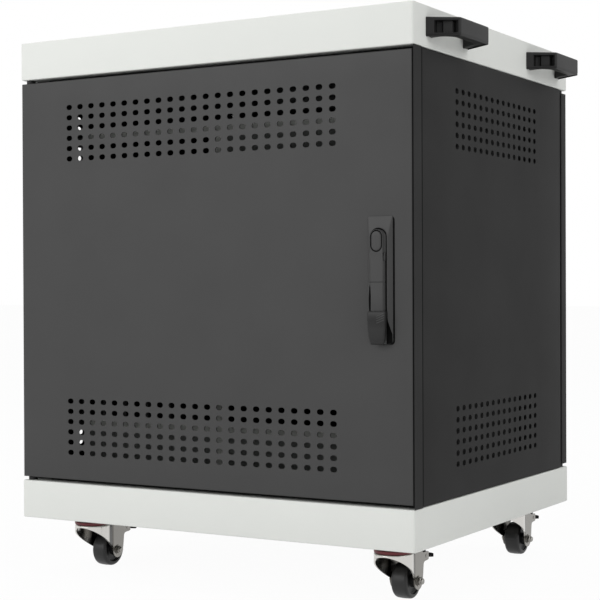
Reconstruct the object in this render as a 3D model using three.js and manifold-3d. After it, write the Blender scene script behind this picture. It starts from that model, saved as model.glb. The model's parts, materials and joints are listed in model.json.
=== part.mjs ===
// Laptop charging cart: a steel cabinet on four swivel casters, with a perforated swing-handle door at each
// end, upright device bays inside, an adapter compartment behind them and two push handles on one side.
// Millimetres, +Z up. The front door faces -Y, and the origin lies on the floor under the middle of the cart.
import * as THREE from "three";
import { mergeGeometries, mergeVertices } from "three/addons/utils/BufferGeometryUtils.js";
import Module from "manifold-3d";

const wasm = await Module();
wasm.setup();

// Cabinet shell
const BODY_WIDTH = 650;
const BODY_DEPTH = 550;
const BASE_HEIGHT = 55;
const PANEL_SPAN = 595; // from the base to the cover
const COVER_HEIGHT = 55;
const CORNER_RADIUS = 1.5;
const SHEET = 1.5; // steel sheet of every panel
const FLANGE = 40; // inward lips of the base and the cover
const PANEL_INSET = 1; // dark panels stand back from the pale base and cover
const PANEL_GAP = 2; // side panel to base and cover
const FLOOR_LAP = 4.5; // floor panel over the base's lip
const SEAT = 0.3; // gap between faces that meet
const CUT = 2; // how far a cutting tool runs past what it cuts

// Corner posts
const POST_WALL = 2;
const POST_LEG = 32;

// Doors
const DOOR_THICK = 20;
const DOOR_GAP = 5.5; // above and below the door
const DOOR_EDGE_GAP = 1; // free edge to the lock post
const PIVOT_INSET = 10; // pivot axis from the hinge edge
const PIVOT_RADIUS = 4;
const PIVOT_COLLAR = 6.5;
const PIVOT_GRIP = 6; // pin beyond each sheet that it passes
const HINGE_POST_GAP = 5.5; // door back to the hinge post and the side panel

// Perforation: slots in rows, one field near the top and one near the bottom
const HOLE_WIDTH = 9;
const HOLE_HEIGHT = 6.5;
const HOLE_PITCH_ACROSS = 20;
const HOLE_PITCH_UP = 15;
const HOLE_ROWS = 6;
const FIELD_MARGIN = 45.5; // base or cover to the nearest row
const DOOR_COLUMNS = 23;
const DOOR_FIELD_MARGIN = 90; // hinge edge to the first column
const PANEL_COLUMNS = 15;

// Swing-handle lock
const LOCK_INSET = 44.8; // door's free edge to the lock's middle
const LOCK_WIDTH = 36;
const LOCK_LENGTH = 165;
const LOCK_DROP = 3.5; // housing's middle below the door's middle
const LOCK_RISE = 6.5; // housing's height off the door
const LOCK_SLOPE = 4; // how far the housing's sides lean in
const LOCK_CORNER = 7;
const HEAD_RISE = 47; // turning axis above the door's middle
const HEAD_WIDTH = 23;
const HEAD_LENGTH = 34;
const HEAD_THICK = 6.2;
const SPINDLE_RADIUS = 6;
const BUTTON_WIDTH = 17;
const BUTTON_LENGTH = 26;
const BUTTON_THICK = 2.4;
const BUTTON_PROUD = 0.4;
const BUTTON_POCKET = 5.4;
const LEVER_WIDTH = 18;
const LEVER_THICK = 5.4;
const LEVER_GRIP_WIDTH = 26;
const LEVER_GRIP_LENGTH = 42;
const LEVER_GRIP_RISE = 2.6; // grip's face in front of the arm's
const LEVER_EAR = 10; // head's ears below the button, each side of the lever
const LEVER_PIN_RADIUS = 1.6;
const CAM_THICK = 3;
const CAM_WIDTH = 18;
const CAM_REACH = 41;
const CAM_GAP = 0.5; // tongue to the post's stop
const KEEPER_ROOM = 4; // keeper notch around the tongue

// Device bays
const BAY_COUNT = 16;
const BAY_DEPTH = 310;
const BAY_FRONT = 32; // bay's front edge behind the cabinet's front
const RACK_HEIGHT = 88.5; // rack's top above the base
const RACK_THICK = 4;
const FIN_HEIGHT = 100;
const UPPER_SHELF_DROP = 86.5; // upper shelf's top below the cover
const INNER_WALL_INSET = 9; // inner wall behind the cabinet's side
const INNER_WALL_DROP = 52.5; // inner wall's top below the cover
const CABLE_SLOT_LENGTH = 90;
const CABLE_SLOT_HEIGHT = 30;
const CABLE_SLOT_RISE = 68; // above the base
const LEDGE_DEPTH = 120; // adapter ledge folded from the back wall
const LEDGE_LIP = 25;
const LEDGE_RISE = 290; // above the base
const LEDGE_WIDTH = 560;

// Power
const STRIP_LENGTH = 440;
const STRIP_HEIGHT = 45;
const STRIP_DEPTH = 38;
const STRIP_RISE = 130; // above the base
const OUTLET_COUNT = 8;
const OUTLET_SIZE = 26;
const OUTLET_DEPTH = 10;
const OUTLET_PITCH = 44;
const SWITCH_WIDTH = 20;
const SWITCH_HEIGHT = 26;
const SWITCH_DEPTH = 9;
const SWITCH_PROUD = 3;
const SWITCH_FROM_END = 26;
const INLET_WIDTH = 48;
const INLET_HEIGHT = 28;
const INLET_BODY_WIDTH = 30;
const INLET_BODY_HEIGHT = 22;
const INLET_BODY_DEPTH = 22;
const INLET_POCKET = 15;
const INLET_FACE = 2.5;
const INLET_INSET = 105; // inlet's middle from the nearer side of the cabinet

// Push handles
const PUSH_REACH = 40;
const PUSH_FOOT_LENGTH = 136;
const PUSH_BAR_LENGTH = 86;
const PUSH_HEIGHT = 24;
const PUSH_LEG = 18;
const PUSH_BAR = 13;
const PUSH_INSET = 103; // each handle's middle from the nearer end of the side
const PUSH_POCKET_HEIGHT = 15;
const PUSH_POCKET_LENGTH = 22;
const PUSH_POCKET_DEPTH = 9;

// Casters
const CASTER_HEIGHT = 84;
const CASTER_INSET_X = 70;
const CASTER_INSET_Y = 78;
const CASTER_TRAIL = 37;
const WHEEL_RADIUS = 25;
const WHEEL_WIDTH = 24;
const WHEEL_ROUND = 4;
const HUB_RADIUS = 9;
const AXLE_RADIUS = 4;
const AXLE_HEAD_RADIUS = 6.5;
const AXLE_HEAD = 4;
const FORK_SHEET = 2;
const FORK_GAP = 5; // wheel to side plate
const CROWN_RADIUS = 27;
const CROWN_SKIRT = 1.8; // front skirt under the crown
const CROWN_REAR = 8; // crown's end behind the axle
const FORK_LOBE = 12;
const FORK_EDGE_RISE = 3; // skirt's lower edge above the axle, where it meets the lobe
const FORK_TAIL = 31.5; // side plate behind the axle
const FORK_TAIL_HEIGHT = 12;
const FORK_TAIL_DROP = 7; // tail below the crown
const FORK_WAIST_DROP = 4; // waist below the tail
const RACE_RADIUS = 24; // ball race under the plate
const RACE_DEPTH = 8;
const SEAL_RADIUS = 27;
const SEAL_HEIGHT = 4;
const KINGPIN_RADIUS = 6;
const KINGPIN_HEAD = 9;
const KINGPIN_HEAD_HEIGHT = 3;
const PLATE_SIZE = 64;
const PLATE_THICK = 2.5;
const BRAKE_WIDTH = 38;
const BRAKE_BAR = 15;
const BRAKE_THICK = 5;
const BRAKE_NECK_WIDTH = 16;
const BRAKE_PIN_RADIUS = 2;
const BRAKE_PIN_INSET = 7; // pin from the plates' rear edge

// Facets
const ROUND_STEPS = 8;
const FINE_STEPS = 16;
const CORNER_STEPS = 2;
const MERGE_TOLERANCE = 1e-4;

// Levels and planes that follow from the sizes
const baseTop = CASTER_HEIGHT + BASE_HEIGHT;
const coverBottom = baseTop + PANEL_SPAN;
const coverTop = coverBottom + COVER_HEIGHT;
const middleZ = (baseTop + coverBottom) / 2;
const sideX = BODY_WIDTH / 2 - PANEL_INSET;
const faceY = BODY_DEPTH / 2 - PANEL_INSET;
const doorBack = faceY - DOOR_THICK;
const doorBottom = baseTop + DOOR_GAP;
const doorTop = coverBottom - DOOR_GAP;
const doorEdge = sideX - SHEET - DOOR_EDGE_GAP;
const pivotX = -sideX + PIVOT_INSET;
const pivotY = -faceY + DOOR_THICK / 2;
const panelEnd = doorBack - HINGE_POST_GAP;
const stopBack = doorBack - SEAT - POST_WALL;
const floorTop = baseTop + SEAT + SHEET;
const innerX = BODY_WIDTH / 2 - INNER_WALL_INSET - SHEET;
const bayFront = -BODY_DEPTH / 2 + BAY_FRONT;
const bayBack = bayFront + BAY_DEPTH;
const rackTop = baseTop + RACK_HEIGHT;
const upperShelfTop = coverBottom - UPPER_SHELF_DROP;
const lockX = doorEdge - LOCK_INSET;
const headZ = middleZ + HEAD_RISE;
const housingFace = -faceY - SEAT - LOCK_RISE;
const headBack = housingFace - SEAT;
const headFace = headBack - HEAD_THICK;
const leverAxisY = headBack - SEAT - LEVER_THICK / 2;
const leverAxisZ = headZ - HEAD_LENGTH / 2 - LEVER_EAR / 2;
const inletX = -BODY_WIDTH / 2 + INLET_INSET;
const inletZ = CASTER_HEIGHT + BASE_HEIGHT / 2;

const FINISHES = {
  paleSteel: { color: 0xe3e5e1, roughness: 0.45, metalness: 0 },
  darkSteel: { color: 0x4a4a4a, roughness: 0.55, metalness: 0 },
  blackPlastic: { color: 0x2b2b2b, roughness: 0.5, metalness: 0 },
  greyPlastic: { color: 0x505050, roughness: 0.45, metalness: 0 },
  nickel: { color: 0xc8c6c2, roughness: 0.25, metalness: 1 },
  zincSteel: { color: 0xa9a8a4, roughness: 0.35, metalness: 1 },
  redSeal: { color: 0x5a1418, roughness: 0.6, metalness: 0 },
  wheelTread: { color: 0x1c1c1c, roughness: 0.6, metalness: 0 },
};

// Planes to draw in: plan grows along +Z, side along +X and face along -Y
const PLANES = {
  plan: basis([1, 0, 0], [0, 1, 0], [0, 0, 1]),
  side: basis([0, 1, 0], [0, 0, 1], [1, 0, 0]),
  face: basis([1, 0, 0], [0, 0, 1], [0, -1, 0]),
};

function basis(right, up, out) {
  return new THREE.Matrix4().makeBasis(
    new THREE.Vector3(...right),
    new THREE.Vector3(...up),
    new THREE.Vector3(...out),
  );
}

/** A solid from a closed geometry: shared corners merged, collapsed triangles dropped, faces turned out. */
function solid(geometry) {
  const bare = geometry.clone();
  bare.deleteAttribute("normal");
  bare.deleteAttribute("uv");
  const merged = mergeVertices(bare, MERGE_TOLERANCE);
  const places = merged.getAttribute("position").array;
  const index = merged.getIndex().array;
  const faces = [];
  for (let i = 0; i < index.length; i += 3) {
    const [a, b, c] = index.slice(i, i + 3);
    if (a !== b && b !== c && c !== a) faces.push(a, b, c);
  }
  const made = manifoldOf(places, faces);
  return made.volume() > 0 ? made : manifoldOf(places, faces.reverse());
}

function manifoldOf(places, faces) {
  const mesh = new wasm.Mesh({
    numProp: 3,
    vertProperties: new Float32Array(places),
    triVerts: new Uint32Array(faces),
  });
  return new wasm.Manifold(mesh);
}

function cut(body, ...tools) {
  return tools.reduce((left, tool) => left.subtract(tool), body);
}

function join(body, ...others) {
  return others.reduce((whole, other) => whole.add(other), body);
}

/** A block between two opposite corners. */
function blockGeometry(low, high) {
  const size = high.map((value, axis) => value - low[axis]);
  const centre = high.map((value, axis) => (value + low[axis]) / 2);
  return new THREE.BoxGeometry(...size).translate(...centre);
}

function block(low, high) {
  return solid(blockGeometry(low, high));
}

/** A drawn outline, given length between two levels across its plane. */
function prism(shape, plane, low, high) {
  const settings = { depth: high - low, bevelEnabled: false, curveSegments: CORNER_STEPS };
  const geometry = new THREE.ExtrudeGeometry(shape, settings);
  geometry.translate(0, 0, plane === "face" ? -high : low);
  return solid(geometry.applyMatrix4(PLANES[plane]));
}

function outline(points) {
  return new THREE.Shape(points.map(([across, up]) => new THREE.Vector2(across, up)));
}

/** A rectangle with round corners, as an outline. */
function roundedRectangle(x, y, width, height, radius) {
  const shape = new THREE.Shape();
  const right = width / 2 - radius;
  const up = height / 2 - radius;
  const quarter = Math.PI / 2;
  shape.absarc(x + right, y + up, radius, 0, quarter);
  shape.absarc(x - right, y + up, radius, quarter, 2 * quarter);
  shape.absarc(x - right, y - up, radius, 2 * quarter, 3 * quarter);
  shape.absarc(x + right, y - up, radius, 3 * quarter, 4 * quarter);
  return shape;
}

/** A rounded rectangle in plan about the cabinet's middle, between two levels. */
function slab(width, depth, radius, low, high) {
  return prism(roundedRectangle(0, 0, width, depth, radius), "plan", low, high);
}

/** A turned piece from (radius, level) points, standing along an axis through a point. */
function turned(points, axis, centre, steps = ROUND_STEPS) {
  const geometry = new THREE.LatheGeometry(points.map(([r, level]) => new THREE.Vector2(r, level)), steps);
  if (axis === "x") geometry.rotateZ(-Math.PI / 2);
  if (axis === "z") geometry.rotateX(Math.PI / 2);
  return solid(geometry.translate(...centre));
}

function rod(radius, low, high, axis, centre, steps = ROUND_STEPS) {
  return turned([[0, low], [radius, low], [radius, high], [0, high]], axis, centre, steps);
}

/** A tool for a bore that a pin can turn in, with the seat's gap at the flats of its facets. */
function bore(pinRadius, low, high, axis, centre) {
  return rod((pinRadius + SEAT) / Math.cos(Math.PI / ROUND_STEPS), low, high, axis, centre);
}

/** One named piece of the cart, with a finish of its own. */
function piece(name, body, finish) {
  const mesh = body.getMesh();
  const geometry = new THREE.BufferGeometry();
  geometry.setAttribute("position", new THREE.BufferAttribute(new Float32Array(mesh.vertProperties), 3));
  geometry.setIndex(new THREE.BufferAttribute(new Uint32Array(mesh.triVerts), 1));
  geometry.computeVertexNormals();
  const made = new THREE.Mesh(geometry, new THREE.MeshStandardMaterial(FINISHES[finish]));
  made.name = name;
  return made;
}

// Base and cover

/** Holes for the two pivot pins in the base's or the cover's lip, one at each end of the cabinet. */
function pivotHoles(low, high) {
  return [1, -1].map((end) =>
    bore(PIVOT_RADIUS, low - CUT, high + CUT, "z", [end * pivotX, end * pivotY, 0]),
  );
}

/** A folded tray with a lip all round its mouth, which opens up or down. */
function lippedTray(low, high, opensUp) {
  const innerRadius = Math.max(CORNER_RADIUS - SHEET, SHEET);
  const hollow = slab(BODY_WIDTH - 2 * SHEET, BODY_DEPTH - 2 * SHEET, innerRadius, low + SHEET, high - SHEET);
  const lip = opensUp ? high : low;
  const mouthX = BODY_WIDTH / 2 - FLANGE;
  const mouthY = BODY_DEPTH / 2 - FLANGE;
  const mouth = block([-mouthX, -mouthY, lip - SHEET - CUT], [mouthX, mouthY, lip + SHEET + CUT]);
  const shell = slab(BODY_WIDTH, BODY_DEPTH, CORNER_RADIUS, low, high);
  return cut(shell, hollow, mouth, ...pivotHoles(lip - SHEET, lip + SHEET));
}

function baseTray() {
  const halfWidth = INLET_BODY_WIDTH / 2 + SEAT;
  const halfHeight = INLET_BODY_HEIGHT / 2 + SEAT;
  const cutout = block(
    [inletX - halfWidth, BODY_DEPTH / 2 - SHEET - CUT, inletZ - halfHeight],
    [inletX + halfWidth, BODY_DEPTH / 2 + CUT, inletZ + halfHeight],
  );
  return cut(lippedTray(CASTER_HEIGHT, baseTop, true), cutout);
}

function floorPanel() {
  const halfWidth = BODY_WIDTH / 2 - FLANGE + FLOOR_LAP;
  const halfDepth = BODY_DEPTH / 2 - FLANGE + FLOOR_LAP;
  return block([-halfWidth, -halfDepth, baseTop + SEAT], [halfWidth, halfDepth, floorTop]);
}

// Perforated sheets

/** The levels of the rows of slots: a field down from the cover and its mirror up from the base. */
function rowLevels() {
  const rows = Array.from({ length: HOLE_ROWS }, (unused, row) => FIELD_MARGIN + row * HOLE_PITCH_UP);
  return [...rows.map((drop) => coverBottom - drop), ...rows.map((rise) => baseTop + rise)];
}

/** All the slots of a sheet as one tool, through the sheet along Y or X. */
function perforation(columns, firstAcross, through, low, high) {
  const slots = [];
  for (const z of rowLevels()) {
    for (let column = 0; column < columns; column += 1) {
      const across = firstAcross + column * HOLE_PITCH_ACROSS;
      const from = [across - HOLE_WIDTH / 2, low, z - HOLE_HEIGHT / 2];
      const to = [across + HOLE_WIDTH / 2, high, z + HOLE_HEIGHT / 2];
      const turn = ([a, b, c]) => (through === "x" ? [b, a, c] : [a, b, c]);
      slots.push(blockGeometry(turn(from), turn(to)));
    }
  }
  return solid(mergeGeometries(slots));
}

function sidePanel(side) {
  const low = Math.min(side * sideX, side * (sideX - SHEET));
  const sheet = block(
    [low, -panelEnd, baseTop + PANEL_GAP],
    [low + SHEET, panelEnd, coverBottom - PANEL_GAP],
  );
  const firstColumn = (-(PANEL_COLUMNS - 1) * HOLE_PITCH_ACROSS) / 2;
  return cut(sheet, perforation(PANEL_COLUMNS, firstColumn, "x", low - CUT, low + SHEET + CUT));
}

// One end of the cabinet: posts, door and lock, drawn for the front

/** The post on the lock's side: a wing beside the door's edge, a stop behind it and a leg along the side. */
function lockPost() {
  const legX = sideX - SHEET - SEAT;
  const stopFront = doorBack - SEAT;
  const section = outline([
    [sideX, -faceY],
    [sideX, -stopBack],
    [legX, -stopBack],
    [legX, -stopBack + POST_LEG],
    [legX - POST_WALL, -stopBack + POST_LEG],
    [legX - POST_WALL, -stopBack],
    [sideX - POST_LEG, -stopBack],
    [sideX - POST_LEG, -stopFront],
    [sideX - SHEET, -stopFront],
    [sideX - SHEET, -faceY],
  ]);
  const keeper = block(
    [sideX - POST_LEG - CUT, -stopFront - CUT, headZ - CAM_WIDTH / 2 - KEEPER_ROOM],
    [lockX + CAM_REACH + KEEPER_ROOM / 2, -stopBack + CUT, headZ + CAM_WIDTH / 2 + KEEPER_ROOM],
  );
  return cut(prism(section, "plan", baseTop + SEAT, coverBottom - SEAT), keeper);
}

/** The angle on the hinge's side, set back behind the door so that its edge can turn. */
function hingePost() {
  const legX = -(sideX - SHEET - SEAT);
  const section = outline([
    [legX, -panelEnd],
    [legX + POST_LEG, -panelEnd],
    [legX + POST_LEG, -panelEnd + POST_WALL],
    [legX + POST_WALL, -panelEnd + POST_WALL],
    [legX + POST_WALL, -panelEnd + POST_LEG],
    [legX, -panelEnd + POST_LEG],
  ]);
  return prism(section, "plan", baseTop + SEAT, coverBottom - SEAT);
}

function door() {
  const pan = block([-sideX, -faceY, doorBottom], [doorEdge, -doorBack, doorTop]);
  const hollow = block(
    [-sideX + SHEET, -faceY + SHEET, doorBottom + SHEET],
    [doorEdge - SHEET, -doorBack + CUT, doorTop - SHEET],
  );
  const firstColumn = -sideX + DOOR_FIELD_MARGIN;
  const slots = perforation(DOOR_COLUMNS, firstColumn, "y", -faceY - CUT, -faceY + SHEET + CUT);
  const pivot = bore(PIVOT_RADIUS, doorBottom - CUT, doorTop + CUT, "z", [pivotX, pivotY, 0]);
  const spindle = bore(SPINDLE_RADIUS, -faceY - CUT, -faceY + SHEET + CUT, "y", [lockX, 0, headZ]);
  return cut(pan, hollow, slots, pivot, spindle);
}

/** A headed pin through a lip of the cabinet and the door's edge, with a collar in the gap between them. */
function pivotPin(lip, doorSide, outward) {
  const ends = [lip + outward * (SHEET + PIVOT_GRIP), doorSide - outward * (SHEET + PIVOT_GRIP)];
  const collar = [lip - outward * SEAT, doorSide + outward * SEAT];
  const profile = [
    [0, ends[0]],
    [PIVOT_RADIUS, ends[0]],
    [PIVOT_RADIUS, collar[0]],
    [PIVOT_COLLAR, collar[0]],
    [PIVOT_COLLAR, collar[1]],
    [PIVOT_RADIUS, collar[1]],
    [PIVOT_RADIUS, ends[1]],
    [0, ends[1]],
  ];
  return turned(profile, "z", [pivotX, pivotY, 0]);
}

/** The lock's housing: a boat-shaped plate on the door, with sides that lean in. */
function lockHousing() {
  const crown = roundedRectangle(
    lockX,
    middleZ - LOCK_DROP,
    LOCK_WIDTH - 2 * LOCK_SLOPE,
    LOCK_LENGTH - 2 * LOCK_SLOPE,
    LOCK_CORNER,
  );
  const foot = LOCK_RISE / 4;
  const geometry = new THREE.ExtrudeGeometry(crown, {
    depth: foot,
    bevelThickness: LOCK_RISE - foot,
    bevelSize: LOCK_SLOPE,
    bevelSegments: 1,
    curveSegments: CORNER_STEPS,
  });
  const boat = solid(geometry.translate(0, 0, faceY + SEAT).applyMatrix4(PLANES.face));
  const behind = block(
    [lockX - LOCK_WIDTH, -faceY - SEAT, middleZ - LOCK_LENGTH],
    [lockX + LOCK_WIDTH, -faceY + LOCK_RISE, middleZ + LOCK_LENGTH],
  );
  const hole = bore(SPINDLE_RADIUS, housingFace - CUT, -faceY + CUT, "y", [lockX, 0, headZ]);
  return cut(boat, behind, hole);
}

function buttonOutline(room) {
  const width = BUTTON_WIDTH + 2 * room;
  return roundedRectangle(lockX, headZ, width, BUTTON_LENGTH + 2 * room, width / 2);
}

/** The turning head: it holds the button and the lever's hinge, and its spindle runs through the door. */
function lockHead() {
  const length = HEAD_LENGTH + LEVER_EAR;
  const body = prism(
    roundedRectangle(lockX, headZ - LEVER_EAR / 2, HEAD_WIDTH, length, LEVER_EAR / 2),
    "face",
    headFace,
    headBack,
  );
  const pocket = prism(buttonOutline(SEAT), "face", headFace - CUT, headFace + BUTTON_POCKET);
  const fork = block(
    [lockX - LEVER_WIDTH / 2 - SEAT, headFace - CUT, headZ - length],
    [lockX + LEVER_WIDTH / 2 + SEAT, headBack + CUT, headZ - HEAD_LENGTH / 2 + SEAT],
  );
  const halfWidth = HEAD_WIDTH / 2 + CUT;
  const pin = bore(LEVER_PIN_RADIUS, -halfWidth, halfWidth, "x", [lockX, leverAxisY, leverAxisZ]);
  const spindleEnd = -stopBack + CAM_GAP + CAM_THICK;
  const spindle = rod(SPINDLE_RADIUS, headFace + BUTTON_POCKET, spindleEnd, "y", [lockX, 0, headZ]);
  return join(cut(body, pocket, fork, pin), spindle);
}

function lockButton() {
  const low = headFace - BUTTON_PROUD;
  return prism(buttonOutline(0), "face", low, low + BUTTON_THICK);
}

/** The lever: a slim arm from its hinge pin down to a wider and thicker grip. */
function lockLever() {
  const halfWidth = LEVER_WIDTH / 2;
  const halfGrip = LEVER_GRIP_WIDTH / 2;
  const bottom = middleZ - LOCK_DROP - LOCK_LENGTH / 2;
  const gripTop = bottom + LEVER_GRIP_LENGTH;
  const chamfer = halfGrip - halfWidth;
  const grip = outline([
    [lockX - halfGrip, gripTop],
    [lockX - halfGrip, bottom + chamfer * 2],
    [lockX - halfWidth, bottom],
    [lockX + halfWidth, bottom],
    [lockX + halfGrip, bottom + chamfer * 2],
    [lockX + halfGrip, gripTop],
  ]);
  const low = leverAxisY - LEVER_THICK / 2;
  const high = leverAxisY + LEVER_THICK / 2;
  const arm = block([lockX - halfWidth, low, gripTop - chamfer], [lockX + halfWidth, high, leverAxisZ]);
  const pad = prism(grip, "face", low - LEVER_GRIP_RISE, high);
  const centre = [lockX, leverAxisY, leverAxisZ];
  const knuckle = rod(LEVER_THICK / 2, -halfWidth, halfWidth, "x", centre);
  const pin = rod(LEVER_PIN_RADIUS, -HEAD_WIDTH / 2, HEAD_WIDTH / 2, "x", centre);
  return join(arm, pad, knuckle, pin);
}

/** The tongue on the spindle's inner end, which reaches behind the lock post. */
function lockCam() {
  const half = CAM_WIDTH / 2;
  const shape = new THREE.Shape();
  shape.moveTo(lockX, headZ - half);
  shape.lineTo(lockX + CAM_REACH, headZ - half);
  shape.lineTo(lockX + CAM_REACH, headZ + half);
  shape.lineTo(lockX, headZ + half);
  shape.absarc(lockX, headZ, half, Math.PI / 2, 1.5 * Math.PI);
  const low = -stopBack + CAM_GAP;
  const hole = bore(SPINDLE_RADIUS, low - CUT, low + CAM_THICK + CUT, "y", [lockX, 0, headZ]);
  return cut(prism(shape, "face", low, low + CAM_THICK), hole);
}

function cabinetEnd(end) {
  const group = new THREE.Group();
  group.add(
    piece(`${end}_lock_post`, lockPost(), "darkSteel"),
    piece(`${end}_hinge_post`, hingePost(), "darkSteel"),
    piece(`${end}_door`, door(), "darkSteel"),
    piece(`${end}_door_pivot_top`, pivotPin(coverBottom, doorTop, 1), "zincSteel"),
    piece(`${end}_door_pivot_bottom`, pivotPin(baseTop, doorBottom, -1), "zincSteel"),
    piece(`${end}_lock_housing`, lockHousing(), "greyPlastic"),
    piece(`${end}_lock_head`, lockHead(), "greyPlastic"),
    piece(`${end}_lock_button`, lockButton(), "greyPlastic"),
    piece(`${end}_lock_lever`, lockLever(), "greyPlastic"),
    piece(`${end}_lock_cam`, lockCam(), "zincSteel"),
  );
  group.rotation.z = end === "rear" ? Math.PI : 0;
  return group;
}

// Inside the cabinet

/** A wall beside the bays, standing on the base's lip, with a slot for cables below the rack. */
function innerWall(side) {
  const low = side > 0 ? innerX : -innerX - SHEET;
  const sheet = block(
    [low, bayFront, baseTop + SEAT],
    [low + SHEET, bayBack + SEAT, coverBottom - INNER_WALL_DROP],
  );
  const slotMiddle = (bayFront + bayBack) / 2;
  const slot = block(
    [low - CUT, slotMiddle - CABLE_SLOT_LENGTH / 2, baseTop + CABLE_SLOT_RISE],
    [low + SHEET + CUT, slotMiddle + CABLE_SLOT_LENGTH / 2, baseTop + CABLE_SLOT_RISE + CABLE_SLOT_HEIGHT],
  );
  return cut(sheet, slot);
}

/** The rack that devices stand on: one plate with an upright fin between neighbouring bays. */
function deviceRack() {
  const half = innerX - SEAT;
  const pitch = (2 * half) / BAY_COUNT;
  const plate = block([-half, bayFront, rackTop - RACK_THICK], [half, bayBack, rackTop]);
  const fins = [];
  for (let bay = 1; bay < BAY_COUNT; bay += 1) {
    if (2 * bay === BAY_COUNT) continue; // the partition stands here
    const x = -half + bay * pitch;
    const low = [x - SHEET / 2, bayFront, rackTop - SHEET];
    fins.push(block(low, [x + SHEET / 2, bayBack, rackTop + FIN_HEIGHT]));
  }
  return join(plate, ...fins);
}

function centrePartition() {
  return block(
    [-SHEET / 2, bayFront, rackTop + SEAT],
    [SHEET / 2, bayBack, upperShelfTop - RACK_THICK - SEAT],
  );
}

function upperShelf() {
  const half = innerX - SEAT;
  return block([-half, bayFront, upperShelfTop - RACK_THICK], [half, bayBack, upperShelfTop]);
}

/** The wall behind the bays, with a ledge for adapters folded out of it and a cable slot above each half. */
function bayBackWall() {
  const half = innerX - SEAT;
  const front = bayBack + SEAT;
  const ledgeZ = baseTop + LEDGE_RISE;
  const sheet = block([-half, front, floorTop + SEAT], [half, front + SHEET, coverBottom - INNER_WALL_DROP]);
  const ledge = block(
    [-LEDGE_WIDTH / 2, front, ledgeZ - SHEET],
    [LEDGE_WIDTH / 2, front + LEDGE_DEPTH, ledgeZ],
  );
  const lip = block(
    [-LEDGE_WIDTH / 2, front + LEDGE_DEPTH - SHEET, ledgeZ - SHEET],
    [LEDGE_WIDTH / 2, front + LEDGE_DEPTH, ledgeZ + LEDGE_LIP],
  );
  const slots = [-1, 1].map((side) => {
    const middle = (side * half) / 2;
    return block(
      [middle - CABLE_SLOT_LENGTH, front - CUT, ledgeZ + LEDGE_LIP],
      [middle + CABLE_SLOT_LENGTH, front + SHEET + CUT, ledgeZ + LEDGE_LIP + CABLE_SLOT_HEIGHT],
    );
  });
  return cut(join(sheet, ledge, lip), ...slots);
}

// Power

const stripFront = bayBack + SEAT + SHEET + SEAT;
const stripBack = stripFront + STRIP_DEPTH;
const stripZ = baseTop + STRIP_RISE;
const switchX = STRIP_LENGTH / 2 - SWITCH_FROM_END;

function powerStrip() {
  const body = block(
    [-STRIP_LENGTH / 2, stripFront, stripZ - STRIP_HEIGHT / 2],
    [STRIP_LENGTH / 2, stripBack, stripZ + STRIP_HEIGHT / 2],
  );
  const outlets = Array.from({ length: OUTLET_COUNT }, (unused, place) => {
    const x = -STRIP_LENGTH / 2 + OUTLET_PITCH * (place + 0.5) + (OUTLET_PITCH - OUTLET_SIZE) / 2;
    return block(
      [x - OUTLET_SIZE / 2, stripBack - OUTLET_DEPTH, stripZ - OUTLET_SIZE / 2],
      [x + OUTLET_SIZE / 2, stripBack + CUT, stripZ + OUTLET_SIZE / 2],
    );
  });
  const well = block(
    [switchX - SWITCH_WIDTH / 2 - SEAT, stripBack - SWITCH_DEPTH - CUT, stripZ - SWITCH_HEIGHT / 2 - SEAT],
    [switchX + SWITCH_WIDTH / 2 + SEAT, stripBack + CUT, stripZ + SWITCH_HEIGHT / 2 + SEAT],
  );
  return cut(body, ...outlets, well);
}

/** The rocker of the strip's switch: a flat face that leans either way about its middle. */
function powerSwitch() {
  const section = outline([
    [stripBack, stripZ + SWITCH_HEIGHT / 2 - SEAT],
    [stripBack - SWITCH_DEPTH / 2, stripZ + SWITCH_HEIGHT / 4],
    [stripBack - SWITCH_DEPTH / 2, stripZ - SWITCH_HEIGHT / 4],
    [stripBack, stripZ - SWITCH_HEIGHT / 2 + SEAT],
    [stripBack + SWITCH_PROUD, stripZ - SWITCH_HEIGHT / 2 + SWITCH_PROUD],
    [stripBack + SWITCH_PROUD / 2, stripZ],
    [stripBack + SWITCH_PROUD, stripZ + SWITCH_HEIGHT / 2 - SWITCH_PROUD],
  ]);
  return prism(section, "side", switchX - SWITCH_WIDTH / 2, switchX + SWITCH_WIDTH / 2);
}

/** The mains inlet in the base's rear wall: a face plate and a socket body with a pocket for the plug. */
function mainsInlet() {
  const wall = BODY_DEPTH / 2;
  const face = block(
    [inletX - INLET_WIDTH / 2, wall + SEAT, inletZ - INLET_HEIGHT / 2],
    [inletX + INLET_WIDTH / 2, wall + SEAT + INLET_FACE, inletZ + INLET_HEIGHT / 2],
  );
  const body = block(
    [inletX - INLET_BODY_WIDTH / 2, wall - INLET_BODY_DEPTH, inletZ - INLET_BODY_HEIGHT / 2],
    [inletX + INLET_BODY_WIDTH / 2, wall + SEAT + INLET_FACE, inletZ + INLET_BODY_HEIGHT / 2],
  );
  const pocket = block(
    [inletX - INLET_BODY_WIDTH / 2 + CUT, wall - INLET_POCKET, inletZ - INLET_BODY_HEIGHT / 2 + CUT],
    [inletX + INLET_BODY_WIDTH / 2 - CUT, wall + INLET_FACE + CUT, inletZ + INLET_BODY_HEIGHT / 2 - CUT],
  );
  return cut(join(face, body), pocket);
}

// Push handles

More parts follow.
